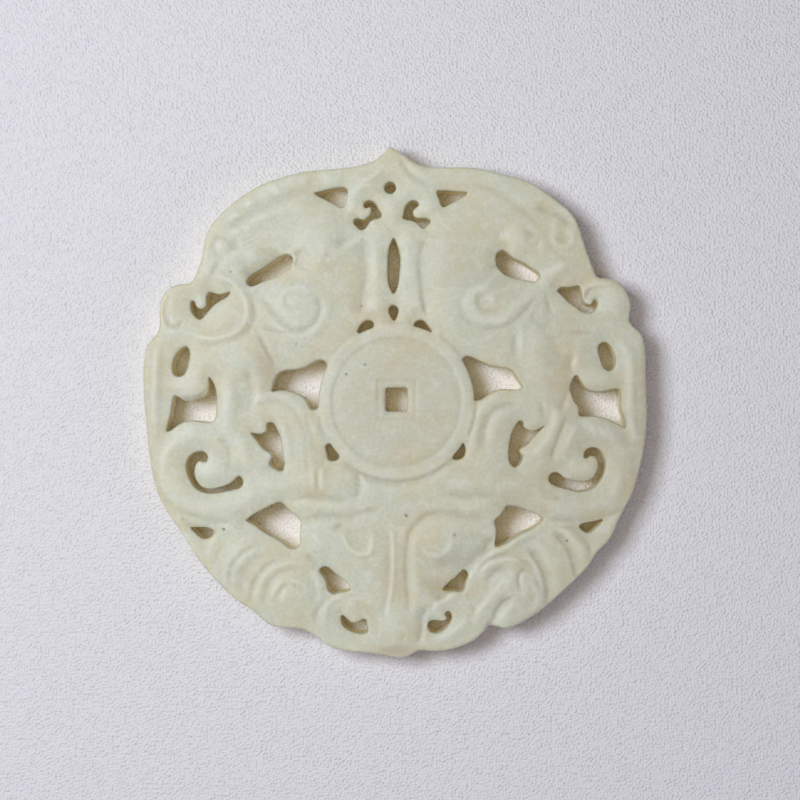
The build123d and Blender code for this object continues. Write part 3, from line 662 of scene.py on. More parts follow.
# %% Carve the tails
TAIL_GROOVES = {
    "left_rim": (0.30, 1.6, 1.2, [(-97.5, -15), (-96.5, -24), (-94.5, -32), (-90.5, -40), (-85.5, -48)]),
    "left_edge": (0.24, 0.8, 1.4, [(-72, -13), (-68, -15.5), (-65.7, -20), (-65.7, -25), (-67, -28.5)]),
    "left_tick": (0.14, 0.3, 0.3, [(-92.5, -24.7), (-87, -25)]),
    "left_foot": (0.30, 0.9, 1.1, [(-88, -41.5), (-83, -43.5), (-77, -45.5), (-70, -47), (-62.5, -45.5)]),
    "left_crevice": (0.60, 0.4, 0.4, [(-85, -45), (-82.8, -47.3), (-80, -49.3)]),
    "right_root": (0.42, 1.0, 0.7, [(68.5, -4.5), (66.5, -9), (64.5, -14), (62.7, -19.5), (62, -25.5)]),
    "right_hollow": (0.18, 0.8, 1.2, [(74, -19), (70.5, -21), (68, -25), (66.5, -27.5)]),
    "right_foot": (0.40, 0.5, 1.3, [(92.5, -40.5), (87, -43.4), (81, -45.2), (74, -46.3), (66, -46.2),
        (59, -45.2)]),
}
TAIL_RIDGES = {
    "left_crest": (0.14, 0.5, [(-84.5, -13.7), (-88.5, -16.3), (-91.3, -20.5), (-92.3, -25),
        (-93, -29.5), (-91.5, -34.5), (-88, -38.3)]),
    "left_tube": (0.26, 1.2, [(-76, -9.5), (-83, -12), (-88.3, -18), (-89.3, -26), (-86.5, -34),
        (-80.5, -39.3), (-72, -41), (-63, -38), (-54, -35.5)]),
    "left_shank": (0.24, 0.7, [(-64.5, -13), (-61.5, -16), (-60, -20.5), (-59, -28)]),
    "right_bone": (0.42, 0.70, [(64.5, -1), (64, -6), (62.3, -11), (58.7, -17), (53.5, -22)]),
    "right_crest": (0.26, 0.40, [(73.5, -8), (71, -11.5), (69, -15.5), (67, -20.5)]),
    "right_arc_one": (0.18, 0.35, [(75, -7), (78.5, -10), (80.3, -14.5)]),
    "right_arc_two": (0.12, 0.3, [(80, -8), (82.3, -11), (83.3, -14.5)]),
    "right_tube": (0.22, 1.3, [(80, -9), (86, -13), (89.5, -20), (89.3, -28), (86, -36), (79, -40.5),
        (70, -41.5), (60, -40)]),
    "right_back": (0.16, 0.6, [(88.7, -25), (88.7, -30.5), (87, -35), (84, -38)]),
}
TAIL_HUMPS = {
    "left_ball": (0.50, 2.0, 1.6, 10, (-74, -25.5)),
    "left_hollow": (-0.16, 1.5, 1.8, 0, (-67.5, -18)),
    "right_ball": (0.34, 2.2, 1.6, -10, (74, -25.5)),
    "right_hollow": (-0.18, 1.6, 1.6, 0, (75.5, -14.5)),
}
carve(TAIL_GROOVES, TAIL_RIDGES, TAIL_HUMPS)

# %% [markdown]
# ## The bars
# A straight bar with turned rings joins each tail to the stub beside the mask. The rings are few and
# uneven, so each is a stroke of its own and not a repeated copy.

# %% Carve the bars
BAR_GROOVES = {
    "left_bar_end": (0.42, 0.6, 0.8, [(-17.5, -25), (-15.3, -27.5), (-14.5, -31), (-15, -34.5),
        (-17, -37.2)]),
    "left_bar_foot": (0.30, 1.1, 0.7, [(-44.5, -39), (-39, -37.8), (-33, -37), (-27, -37.3),
        (-21.5, -38.2), (-17, -37.2)]),
    "left_ring": (0.20, 0.35, 0.35, [(-30.5, -24), (-31, -28.5), (-31, -32), (-30.5, -36.3)]),
    "left_bar_top": (0.14, 0.5, 0.5, [(-22, -24), (-19, -24.8), (-16.5, -26.3)]),
    "right_bar_foot": (0.28, 1.1, 0.7, [(19, -35.5), (24, -36.5), (28.5, -37.2), (33, -36.3), (41, -36.8)]),
    "right_bar_end": (0.10, 0.8, 0.9, [(16.5, -27), (19, -31), (20, -35)]),
    "right_ring_one": (0.12, 0.3, 0.3, [(39.5, -27.5), (40, -32), (39.7, -36.5)]),
    "right_ring_two": (0.14, 0.3, 0.3, [(42, -27.5), (42.3, -32), (42, -36.5)]),
}
BAR_RIDGES = {
    "left_bar": (0.24, 1.3, [(-54, -34), (-44, -31.5), (-33, -30), (-19, -30.5)]),
    "right_bar_tube": (0.18, 1.3, [(21, -31), (32, -31), (44, -32), (54, -35)]),
    "left_ring_one": (0.18, 0.3, [(-32.5, -24), (-32.8, -29), (-32.3, -36)]),
    "left_ring_two": (0.18, 0.3, [(-28.7, -24), (-29, -29), (-28.7, -36)]),
    "right_bar": (0.12, 0.5, [(89, -43), (85, -47.5), (80.5, -52.5)]),
    "right_tick": (0.10, 0.4, [(57.7, -33.5), (57, -36), (56, -39)]),
}
carve(BAR_GROOVES, BAR_RIDGES, {})

# %% [markdown]
# ## The beast mask
# Below the coin a bull-like mask looks up at it: a brow band, two shallow eyes, a long nose and a muzzle.
# Each eye is sunk a little, inside a thin ridge for its lid.

# %% Carve the mask
MASK_GROOVES = {
    "left_brow": (0.26, 1.3, 0.5, [(-39, -46), (-34.5, -45.3), (-29.5, -44.3), (-22, -44.7),
        (-16, -44.7), (-11, -42.8)]),
    "right_brow": (0.32, 0.7, 0.9, [(4.8, -57), (5.3, -52.5), (7.8, -48.3), (11, -45.2), (15, -43.4),
        (20.5, -42.8)]),
    "right_brow_tail": (0.20, 1.2, 0.7, [(21, -44), (28, -45.3), (34, -45.8), (40, -46.8)]),
    "left_nose": (0.20, 0.35, 1.8, [(-3, -48), (-2.4, -55), (-2.2, -63), (-2.6, -71), (-3.8, -79),
        (-5.2, -86)]),
    "right_nose": (0.28, 0.7, 0.6, [(5.5, -51), (4.6, -57), (4.2, -63), (4.5, -70), (5, -76), (5.3, -82)]),
    "right_muzzle": (0.30, 0.5, 0.6, [(13, -79), (11.3, -84), (10.7, -89), (9, -95.5)]),
    "left_muzzle": (0.22, 0.9, 0.8, [(-14.5, -75.5), (-12.5, -80), (-10.3, -85), (-9, -91), (-9.5, -96)]),
    "left_nostril": (0.14, 0.3, 0.3, [(-4.5, -89.5), (-5.5, -91.5), (-4.5, -93)]),
    "right_nostril": (0.24, 0.35, 0.3, [(4.3, -90), (3, -91.8), (3.2, -94)]),
    "left_cheek": (0.34, 0.9, 0.7, [(-38.5, -57), (-34.5, -60.5), (-30.5, -64.5)]),
}
MASK_RIDGES = {
    "left_eye": (0.24, 0.32, [(-20.5, -50), (-20, -53.5), (-18.3, -57), (-14.5, -59.4), (-10, -58.7),
        (-9.3, -54.5), (-9.8, -50.3)]),
    "right_eye": (0.20, 0.32, [(22.5, -51), (22, -55.5), (20, -59), (16.5, -60.3), (12.5, -59),
        (10.5, -56)]),
    "left_brow": (0.15, 0.8, [(-43, -41.3), (-35, -40.6), (-26, -41), (-17, -41.3)]),
    "right_brow": (0.14, 0.8, [(25, -41.5), (32, -40.3), (41, -40.8)]),
    "nose_edge": (0.18, 0.25, [(-1.4, -49), (-0.9, -56), (-0.8, -63), (-1.2, -70), (-2.1, -77),
        (-3.6, -84.5)]),
    "right_face": (0.14, 0.6, [(8.3, -51), (7.5, -58), (8, -66), (8.5, -73), (8, -80), (7, -87)]),
    "left_face": (0.18, 0.4, [(-32.5, -51), (-31.3, -54), (-29.5, -56)]),
}
MASK_HUMPS = {
    "left_eye": (-0.16, 1.4, 1.2, 0, (-14.5, -54)),
    "right_eye": (-0.10, 1.6, 1.2, 0, (16.5, -54.5)),
}
carve(MASK_GROOVES, MASK_RIDGES, MASK_HUMPS)

# %% [markdown]
# ## The shells
# The mask's beard is a row of overlapping shells on each side. A ridge is a shell's lip, and the groove
# beside it is the step down to the next one. On the left they are shallow and worn.

# %% Carve the left shells
LEFT_SHELL_GROOVES = {
    "left_one": (0.24, 1.2, 1.0, [(-65.5, -53.5), (-68.5, -56.3), (-70.3, -60), (-70.3, -64.5)]),
    "left_two": (0.19, 0.5, 0.8, [(-51.5, -55), (-56, -56.7), (-60.5, -59), (-63.8, -62.6),
        (-65.4, -66.5), (-65.4, -70.5), (-63.8, -74)]),
    "left_three": (0.16, 1.2, 1.2, [(-50.5, -59), (-55, -61.2), (-58.8, -64.3), (-60.9, -68),
        (-61.2, -72), (-60, -76)]),
    "left_four": (0.20, 0.5, 0.8, [(-41, -60.6), (-46.5, -61.6), (-51.5, -64.4), (-55, -68.6),
        (-56.9, -73), (-57.2, -77.5), (-56, -81)]),
    "left_heart": (0.18, 0.9, 0.8, [(-35, -66.5), (-40, -65), (-45, -66), (-48.6, -69), (-50.8, -73),
        (-51.8, -77.5), (-51, -81)]),
    "left_heart_curl": (0.18, 0.5, 0.5, [(-36, -75), (-37.3, -72.8), (-40.5, -71.5), (-43.5, -71.8),
        (-45.7, -74.3), (-48, -78.5)]),
}
LEFT_SHELL_RIDGES = {
    "left_one": (0.14, 0.26, [(-69, -50.8), (-72, -54), (-73.7, -58), (-73.5, -62)]),
    "left_two": (0.14, 0.50, [(-57, -55.6), (-61, -57.6), (-64.5, -61), (-66.7, -65.5), (-67.2, -70),
        (-65.8, -74.5)]),
    "left_three": (0.11, 0.35, [(-52.5, -57.4), (-57, -59.3), (-61, -62.3), (-63.4, -66.5), (-63.9, -71),
        (-62.6, -75.5)]),
    "left_four": (0.12, 0.35, [(-46, -60.4), (-50.5, -62.2), (-54.4, -65.5), (-57, -69.7), (-58.3, -74),
        (-58, -78.5)]),
    "left_heart": (0.17, 0.42, [(-37, -62.8), (-42, -63), (-47.5, -64.8), (-51.4, -68), (-53.8, -72.3),
        (-55, -77), (-54.3, -81.5)]),
    "left_heart_inner": (0.16, 0.30, [(-44.3, -68.7), (-46.8, -72.2), (-49, -76), (-50.5, -78.7)]),
    "left_heart_hook": (0.13, 0.30, [(-42.6, -69.9), (-39.5, -70), (-36.3, -71.2), (-34.3, -74)]),
    "left_side": (0.21, 0.38, [(-33.5, -64.5), (-31.2, -68.2), (-30.1, -72), (-29.8, -76), (-30.4, -80)]),
}
LEFT_SHELL_HUMPS = {
    "left_heart": (0.16, 0.9, 1.2, 0, (-43.7, -76)),
    "left_shell": (0.10, 0.8, 0.6, 0, (-68, -50)),
}
carve(LEFT_SHELL_GROOVES, LEFT_SHELL_RIDGES, LEFT_SHELL_HUMPS)

# %% [markdown]
# On the right they are cut deeper, with steep steps, and the innermost one curls round a heart.

# %% Carve the right shells
RIGHT_SHELL_GROOVES = {
    "right_rim": (0.40, 0.6, 0.5, [(32.6, -67.5), (35.2, -63), (39.2, -60.7), (43.5, -59.7), (48, -59.9)]),
    "right_two": (0.64, 1.5, 0.5, [(52, -56.5), (56, -61.5), (58.7, -67), (60, -72), (60.2, -77),
        (59, -81.5)]),
    "right_two_inner": (0.16, 0.35, 0.35, [(51.3, -60.5), (54.5, -66), (56.7, -71.4), (57, -76)]),
    "right_one": (0.64, 1.5, 0.5, [(61, -50.3), (65.6, -53.5), (68.6, -57.8), (70.4, -62.7), (71.4, -67),
        (72.3, -70.8)]),
    "right_top": (0.32, 0.7, 0.4, [(64.5, -48.8), (69.6, -49.3), (73.5, -51.8), (76.2, -55.3),
        (77.4, -59), (76.8, -63)]),
    "right_middle": (0.12, 0.6, 0.6, [(50, -54.5), (54, -53.8), (58, -54.2), (61.5, -55.8)]),
    "right_heart": (0.40, 0.8, 0.8, [(36.3, -72), (37.6, -68.3), (41, -65.7), (45.8, -64.9)]),
    "right_heart_hook": (0.42, 0.35, 0.5, [(51.3, -64.8), (49, -68), (49.1, -71.4), (49.9, -75)]),
}
RIGHT_SHELL_RIDGES = {
    "right_side": (0.30, 0.36, [(29.3, -72), (30, -67.8), (32.2, -62.8), (36, -59.4), (41.8, -57.8),
        (45.5, -56), (49, -53.5), (53, -51.6), (57, -50.8)]),
    "right_second": (0.24, 0.34, [(33.8, -69.5), (35.7, -65), (39.9, -62.3), (44, -61.2), (48.5, -62),
        (51.5, -64)]),
    "right_band": (0.36, 0.51, [(31.5, -85), (35.9, -79.2), (39.2, -74.7), (43.2, -70.8), (47, -68)]),
    "right_band_two": (0.18, 0.26, [(38, -79), (42, -74.5), (46, -71.8)]),
    "right_lobe": (0.24, 0.42, [(53, -69), (56.5, -74), (56.5, -79), (52, -83)]),
    "right_three": (0.21, 0.42, [(61.6, -50.9), (66.9, -50.9), (71, -53.4), (74, -57.5), (74.5, -62.5)]),
}
carve(RIGHT_SHELL_GROOVES, RIGHT_SHELL_RIDGES, {})

# %% [markdown]
# ## The chin curls
# Two small curls meet under the mask's jaw, each round its own hooked gap.

# %% Carve the chin curls
CHIN_GROOVES = {
    "left_chin_neck": (0.26, 0.7, 0.6, [(-26.5, -75.5), (-29, -78.5), (-31.3, -83), (-31.5, -88)]),
    "left_chin_inner": (0.22, 0.5, 0.6, [(-16.5, -75), (-14.7, -78), (-14.3, -82), (-15.5, -85)]),
    "right_chin_neck": (0.24, 0.6, 0.8, [(26.5, -74.8), (29.5, -77), (31, -80), (31.5, -84)]),
    "right_chin_inner": (0.26, 0.6, 0.6, [(19.5, -74.5), (15.8, -77), (14.3, -81), (13.8, -85)]),
    "right_tongue": (0.75, 0.6, 1.3, [(34, -90.5), (38.3, -85.7), (40.5, -81.2), (43.2, -77.9),
        (48, -75.7)]),
}
CHIN_RIDGES = {
    "left_chin": (0.18, 0.34, [(-19, -75.7), (-23, -76.3), (-26.5, -79), (-28, -83), (-27.7, -88.5)]),
    "right_chin": (0.27, 0.34, [(15.7, -82.5), (16.7, -79), (19.7, -76.5), (23.3, -75.6), (27, -76.7)]),
    "right_chin_tube": (0.27, 0.51, [(28, -83), (26.3, -87.3), (21, -91), (14.5, -93.7)]),
}
CHIN_HUMPS = {
    "right_ball": (0.20, 1.4, 1.1, 0, (43, -84.3)),
}
carve(CHIN_GROOVES, CHIN_RIDGES, CHIN_HUMPS)

# %% [markdown]
# ## The coin
# The coin in the middle is a plain field inside a raised rim, with a raised frame round its square hole.
# A turned groove sets it off from what surrounds it, deepest below, where the carver leant on the wheel.

# %% Carve the coin
COIN_MIDDLE = (0.5, 0)
COIN_REACH = 9.45
FIELD_REACH = 7.7
FRAME_MIDDLE = (0, 1)
FRAME_HALF = (2.2, 2.3)
COIN_GROOVE = {"depth": 0.18, "more_below": 0.45, "outside": 1.2, "inside": 0.5}
LEANT_TO = (0.35, -0.94)
FIELD_EDGE = {"depth": 0.19, "outside": 0.4, "inside": 1.4}
FRAME_LINE = {"depth": 0.20, "half_width": 0.45}

from_middle = spots - place([COIN_MIDDLE])[0]
reach = np.hypot(from_middle[:, 0], from_middle[:, 1])
below = 0.5 + 0.5 * (from_middle @ LEANT_TO) / np.maximum(reach, 0.1)
outside = reach - COIN_REACH
everywhere = np.arange(len(spots))
chip(everywhere, COIN_GROOVE["depth"] + COIN_GROOVE["more_below"] * below,
     np.abs(outside) / np.where(outside > 0, COIN_GROOVE["outside"], COIN_GROOVE["inside"]))
off_field = reach - FIELD_REACH
chip(everywhere, FIELD_EDGE["depth"],
     np.abs(off_field) / np.where(off_field > 0, FIELD_EDGE["outside"], FIELD_EDGE["inside"]))
from_frame = np.abs(from_middle - place([FRAME_MIDDLE])[0]) - FRAME_HALF
corner = np.hypot(*np.maximum(from_frame, 0).T)
from_frame = np.where((from_frame > 0).all(axis=1), corner, from_frame.max(axis=1))
chip(everywhere, FRAME_LINE["depth"], np.abs(from_frame) / FRAME_LINE["half_width"])
groove_depth = float(np.cbrt(cut_cubed[np.abs(outside) < 0.1].max()))
print("the groove round the coin is", round(groove_depth, 2), "mm")

# %% [markdown]
# ## Rounded edges
# Nothing on a rubbed amulet is sharp. The edges of the gaps turn over in a small quarter round below two
# softer shoulders, and the outer edge turns over a little further. The wide shoulder stops at the coin,
# which was turned flat. All strokes are then rubbed down to less than half their depth, as wax and cloth
# did, and the stone keeps some headroom so that no crest passes the top of the slab.

# %% Round the edges and set the heights
RUBBED = 0.40
HEADROOM = 0.25
TOP_MARGIN = 0.02
# Each of these is (depth, width) in millimetres
SHOULDER = (0.34, 1.5)
WIDE_SHOULDER = (0.45, 3.4)
HOLE_ROUND = (0.25, 0.22)
RIM_SHOULDER = (0.16, 2.6)
RIM_ROUND = (0.34, 0.36)

def quarter_round(gap, drop, width):
    """How far the surface has dropped at a distance from the edge, along a quarter of an ellipse."""
    return drop * (1 - np.sqrt(1 - (1 - np.clip(gap / width, 0, 1)) ** 2))

chip(everywhere, SHOULDER[0], hole_gap / SHOULDER[1])
chip(everywhere, WIDE_SHOULDER[0], hole_gap / WIDE_SHOULDER[1] + (outside < 0))
chip(everywhere, RIM_SHOULDER[0], rim_gap / RIM_SHOULDER[1])
cut = RUBBED * np.cbrt(cut_cubed)
rise *= RUBBED
heights = thickness - HEADROOM + rise - cut
heights -= np.maximum(quarter_round(hole_gap, *HOLE_ROUND), quarter_round(rim_gap, *RIM_ROUND))
heights = np.minimum(heights, thickness - TOP_MARGIN)
print("front from", round(float(heights.min()), 2), "to", round(float(heights.max()), 2), "mm")

# %% [markdown]
# ## The walls and the back
# The front is one open sheet. Its edges are extruded down in rows to the flat back, and the last rows
# draw in a little, so the edge of the back is rounded too. Then the back is filled flat. A Solidify
# modifier would also give thickness, but it would copy the carving onto the back.

# %% Build the front as one sheet
mesh = bpy.data.meshes.new("carved_disc")
mesh.from_pydata(np.column_stack([spots, heights]) * MM, [], triangles.tolist())
mesh.update()
disc = bpy.data.objects.new("carved_disc", mesh)
bpy.context.scene.collection.objects.link(disc)
select_only(disc)
print("front sheet has", len(mesh.polygons), "faces")

# %% [markdown]
# An extrusion selects the new lower edges, but their corners come in an order of their own. Each one is
# found by the place it started from, and is then set to its row's level and inset.

# %% Find which wall corner a point was extruded from
def where(mesh):
    """The places of a mesh's points in millimetres."""
    flat = np.empty(len(mesh.vertices) * 3, np.float32)
    mesh.vertices.foreach_get("co", flat)
    return flat.reshape(-1, 3).astype(float) / MM

def numbers_of(chosen, row_above):
    """For each chosen place, the number of the wall corner that it was extruded from."""
    tree = KDTree(len(row_above))
    for number, spot in enumerate(row_above):
        tree.insert(spot, number)
    tree.balance()
    return np.array([tree.find(spot)[1] for spot in chosen])

row = np.column_stack([wall_spots, heights[:len(wall_spots)]])
print("the third corner is found as number", int(numbers_of(row[2:3], row)[0]))

# %% Extrude the walls in rows
WALL_ROWS = ((2.5, 0.0), (1.7, 0.0), (0.9, 0.0), (0.25, 0.01), (0.08, 0.06), (0.0, 0.17), (0.0, 0.22))

bpy.ops.object.mode_set(mode="EDIT")
bpy.ops.mesh.select_mode(type="EDGE")
bpy.ops.mesh.select_all(action="DESELECT")
bpy.ops.mesh.select_non_manifold()
for level, inset in WALL_ROWS:
    bpy.ops.mesh.extrude_edges_move()
    bpy.ops.object.mode_set(mode="OBJECT")
    places = where(mesh)
    chosen = np.flatnonzero([vertex.select for vertex in mesh.vertices])
    numbers = numbers_of(places[chosen], row)
    row = np.column_stack([wall_spots + inset * wall_normals, np.full(len(wall_spots), level)])
    places[chosen] = row[numbers]
    mesh.vertices.foreach_set("co", (places * MM).astype(np.float32).ravel())
    mesh.update()
    bpy.ops.object.mode_set(mode="EDIT")
print(len(WALL_ROWS), "rows of walls down to the back")

# %% [markdown]
# The last row is still selected, as one ring for each wall. A fill closes the flat between the rings and
# leaves the gaps open. Normals are then made to point outwards, and a look for open edges tells whether
# anything was missed.

# %% Fill the back
SHARP_ANGLE = 50

bpy.ops.mesh.fill(use_beauty=False)
bpy.ops.mesh.select_all(action="SELECT")
bpy.ops.mesh.normals_make_consistent(inside=False)
bpy.ops.mesh.select_all(action="DESELECT")
bpy.ops.mesh.select_non_manifold()
bpy.ops.object.mode_set(mode="OBJECT")
open_corners = sum(vertex.select for vertex in mesh.vertices)
bpy.ops.object.shade_smooth_by_angle(angle=math.radians(SHARP_ANGLE))
mesh.calc_loop_triangles()
print("whole disc has", len(mesh.loop_triangles), "triangles and", open_corners, "open corners")

# %% [markdown]
# ## Painted highlight and shade
# The crests get a painted highlight, the grooves a painted warm shade, and the sawn walls a warmer tone. A
# blurred copy of the surface tells which points stand above their surroundings and which lie below. These
# go to the material as attributes of the points, which follow the carving exactly.

# %% Find the crests and the hollows
BLUR_TIMES = 30
FULL_CREST = 0.08
FULL_HOLLOW = 0.10

def blurred(values, times):
    """Values averaged over neighbouring points again and again."""
    sides = np.vstack([triangles[:, [0, 1]], triangles[:, [1, 2]], triangles[:, [2, 0]]])
    count = np.bincount(sides.ravel(), minlength=len(values))
    for _ in range(times):
        total = (np.bincount(sides[:, 0], values[sides[:, 1]], minlength=len(values))
                 + np.bincount(sides[:, 1], values[sides[:, 0]], minlength=len(values)))
        values = 0.5 * values + 0.5 * total / count
    return values

inner_heights = thickness - HEADROOM + rise - cut
above = inner_heights - blurred(inner_heights, BLUR_TIMES)
# the crest mask carries a painted highlight, and the hollow mask a painted shade
crest_highlight = np.clip(above / FULL_CREST, 0, 1)
hollow_shade = np.clip(-above / FULL_HOLLOW, 0, 1)
print("crests on", round(float((crest_highlight > 0.5).mean()) * 100, 1), "% and hollows on",
      round(float((hollow_shade > 0.5).mean()) * 100, 1), "% of the points")

# %% [markdown]
# The stone has a few dark specks, and brown where earth or a finger has stained it. Each is listed
# one by one: a speck as (radius, middle), a stain as (strength, half length across and up, turn, middle).

# %% Stain and speckle it
SPECK_EDGE = 1.6
SPECKS = {
    "neck": (0.12, (-13.3, 63.8)),
    "snout": (0.10, (-65, 51)),
    "ankle": (0.10, (-13.1, 37.8)),
    "field_high": (0.11, (-12, 15)),
    "field_left": (0.11, (-19.3, 10.7)),
    "nose_top": (0.14, (4.3, -44.2)),
    "left_shell": (0.09, (-53.7, -84)),
    "shell_top": (0.09, (-67.8, -49.8)),
    "belly": (0.09, (-39.7, 22.8)),
    "right_shell": (0.09, (68, -53.9)),
    "haunch": (0.09, (-41, 45.5)),
}
STAINS = {
    "coin": (0.14, 9.0, 9.0, 0, (0.5, 0)),
    "right_side": (0.13, 16.0, 24.0, 0, (75, -20)),
    "left_brow": (0.45, 0.7, 0.32, 25, (-23, -48.5)),
    "brow_line": (0.35, 1.0, 0.28, 12, (-10.5, -42)),
    "right_eye": (0.8, 0.18, 0.22, 0, (23.5, -51.8)),
    "left_cheek": (0.5, 0.16, 0.16, 0, (-31.8, -58.6)),
    "nose": (0.14, 0.9, 2.0, 0, (1, -71.5)),
    "shell": (0.16, 2.0, 1.4, 0, (50, -64)),
    "tail": (0.35, 0.5, 0.5, 0, (64, -37.5)),
    "shoulder": (0.35, 1.4, 0.35, 0, (73.5, 27.3)),
    "arm": (0.25, 0.6, 1.6, 0, (60, 36)),
    "flank": (0.30, 1.6, 2.0, 0, (-51, 14)),
    "left_eye_cheek": (0.20, 2.0, 1.0, 20, (20, -62)),
    "muzzle": (0.30, 2.2, 0.6, 0, (0, -97)),
    # right_rim and left_rim lay a tan tint along the right and left rims of the disc
    "right_rim": (0.26, 0.55, 9.0, 0, (98.5, 5)),
    "left_rim": (0.12, 1.2, 10.0, 0, (-97, 8)),
    "heart": (0.5, 0.22, 0.3, 0, (50.5, -65.5)),
}
speck = np.zeros(len(spots))
for size, middle in SPECKS.values():
    away = np.hypot(*(spots - place([middle])[0]).T)
    speck = np.maximum(speck, np.clip(SPECK_EDGE - away / size, 0, 1))
stain = np.zeros(len(spots))
for strength, *oval in STAINS.values():
    stain = np.maximum(stain, strength * np.exp(-oval_share(*oval)))
print(len(SPECKS), "specks and", len(STAINS), "stains")

# %% [markdown]
# The material needs these numbers at each point, so they become attributes of the mesh. Two more are for
# the walls: one fades in from the edge down, and one marks the gaps' walls but not the rim's or the foot.

# %% Hand them to the mesh
WALL_FADE = (4.6, 1.5)
RIM_CLEARANCE = 0.6
FOOT_HEIGHT = 0.1

def give(name, front_values, wall_values):
    """Stores one number per point: the front's own values, and those of the walls and the back."""
    values = np.zeros(len(mesh.vertices), np.float32)
    values[:len(spots)] = front_values
    values[len(spots):] = wall_values
    mesh.attributes.new(name, "FLOAT", "POINT").data.foreach_set("value", values)

placed = where(mesh)
drift = np.abs(placed[:len(spots), :2] - spots).max()
wall_points = placed[len(spots):]
fade = np.clip((WALL_FADE[0] - wall_points[:, 2]) / (WALL_FADE[0] - WALL_FADE[1]), 0, 1)
of_gap = wall_distance(wall_points[:, :2], True) > RIM_CLEARANCE
# the first two carry a painted highlight on the crests and a painted shade in the hollows
give("crest_highlight", crest_highlight, 0)
give("hollow_shade", hollow_shade, 0)
give("speck", speck, 0)
give("stain", stain, 0)
give("wall", 0, fade)
give("glow", 0, fade * of_gap * (wall_points[:, 2] > FOOT_HEIGHT))
print("front points keep their numbers to within", round(float(drift), 5), "mm")

# %% [markdown]
# ## The jade
# Nephrite is a felt of fine fibres: waxy, a little see-through, and never one colour. This one is pale
# grey-green with clouds of warmer and cooler tone, whitish fibre flecks about half a millimetre across,
# and brown where the ground has stained it. Light enters a millimetre or so before it comes back out,
# which softens every edge, so it needs subsurface scattering rather than a plain paint.

# %% Two helpers for materials
def linear(hex_colour):
    """An sRGB hex colour as the linear values that shaders use."""
    parts = [int(hex_colour[start:start + 2], 16) / 255 for start in (0, 2, 4)]
    return [part / 12.92 if part <= 0.04045 else ((part + 0.055) / 1.055) ** 2.4 for part in parts] + [1]

def add_node(tree, kind, inputs=None, **settings):
    """Adds a node with its settings; each input gets a value, or a link where it is given a socket."""
    node = tree.nodes.new(kind)
    for name, value in settings.items():
        setattr(node, name, value)
    for name, value in (inputs or {}).items():
        if isinstance(value, bpy.types.NodeSocket):
            tree.links.new(value, node.inputs[name])
        else:
            node.inputs[name].default_value = value
    return node

def new_material(name):
    """An empty material: its node tree, its output and its main shader."""
    material = bpy.data.materials.new(name)
    material.use_nodes = True
    tree = material.node_tree
    tree.nodes.clear()
    shader = add_node(tree, "ShaderNodeBsdfPrincipled")
    add_node(tree, "ShaderNodeOutputMaterial", {"Surface": shader.outputs["BSDF"]})
    return material, tree, shader

print("white is", [round(value, 2) for value in linear("ffffff")])

# %% [markdown]
# Four noises draw the stone: its clouds, its veins, its felt of fibres and a fine grain. Each is as coarse
# as the real pattern, in millimetres. A picture of jade could be wrapped round the disc instead, but it
# would stretch on the walls, where a noise in space runs on through the stone.

# %% Draw the patterns of the stone
CLOUD_SIZE = 6.0
VEIN_SIZE = 18.0
FELT_SIZE = 1.3
GRAIN_SIZE = 0.40

jade, tree, shader = new_material("waxed_pale_jade")
spot = add_node(tree, "ShaderNodeTexCoord").outputs["Object"]
sources = {}
for name, size, detail, warp in (
        ("cloud", CLOUD_SIZE, 4, 0.5), ("vein", VEIN_SIZE, 5, 1.2),
        ("felt", FELT_SIZE, 4, 0.3), ("grain", GRAIN_SIZE, 2, 0.0)):
    noise = add_node(tree, "ShaderNodeTexNoise", {
        "Vector": spot, "Scale": 1 / (size * MM), "Detail": detail, "Distortion": warp})
    sources[name] = noise.outputs["Fac"]
for name in ("crest_highlight", "hollow_shade", "speck", "stain", "wall", "glow"):
    sources[name] = add_node(tree, "ShaderNodeAttribute", attribute_name=name).outputs["Fac"]
print("the jade follows", ", ".join(sources))

# %% [markdown]
# The ground is grey-green, and every other tone is laid over it in turn, like thin glazes: the clouds, the
# veins and the flecks of the stone first, then the painted highlight on the crests, the painted shade in
# the hollows, the stains, the warmer tone of the walls and the specks.

# %% Mix the jade
JADE_COLOURS = {
    "grey_green": "d0d5b9",
    "warm": "d2cda7",
    # the fibre colour is also the painted highlight laid on the crests
    "fibre_and_highlight": "e6ead8",
    "vein": "bdba9f",
    "stain": "9a7d52",
    # the warm brown of the painted shade in the hollows
    "shade_brown": "8d7b50",
    "sawn": "e6d9ae",
    "speck": "2e261c",
}
# Each row is a tone, what it follows, that value's range, and the least and most of the tone
TONES = (
    ("warm", "cloud", 0.42, 0.66, 0.0, 0.9),
    ("vein", "vein", 0.55, 0.70, 0.0, 0.35),
    ("fibre_and_highlight", "felt", 0.46, 0.70, 0.0, 0.4),
    ("vein", "grain", 0.35, 0.60, 0.32, 0.0),
    # painted highlight: the whitish fibre colour laid over the crests
    ("fibre_and_highlight", "crest_highlight", 0.0, 1.0, 0.0, 0.35),
    # painted shade: a warm brown laid in the hollows
    ("shade_brown", "hollow_shade", 0.0, 1.0, 0.0, 0.14),
    ("stain", "stain", 0.0, 1.0, 0.0, 1.0),
    ("sawn", "wall", 0.0, 1.0, 0.0, 1.0),
    ("speck", "speck", 0.0, 1.0, 0.0, 1.0),
)

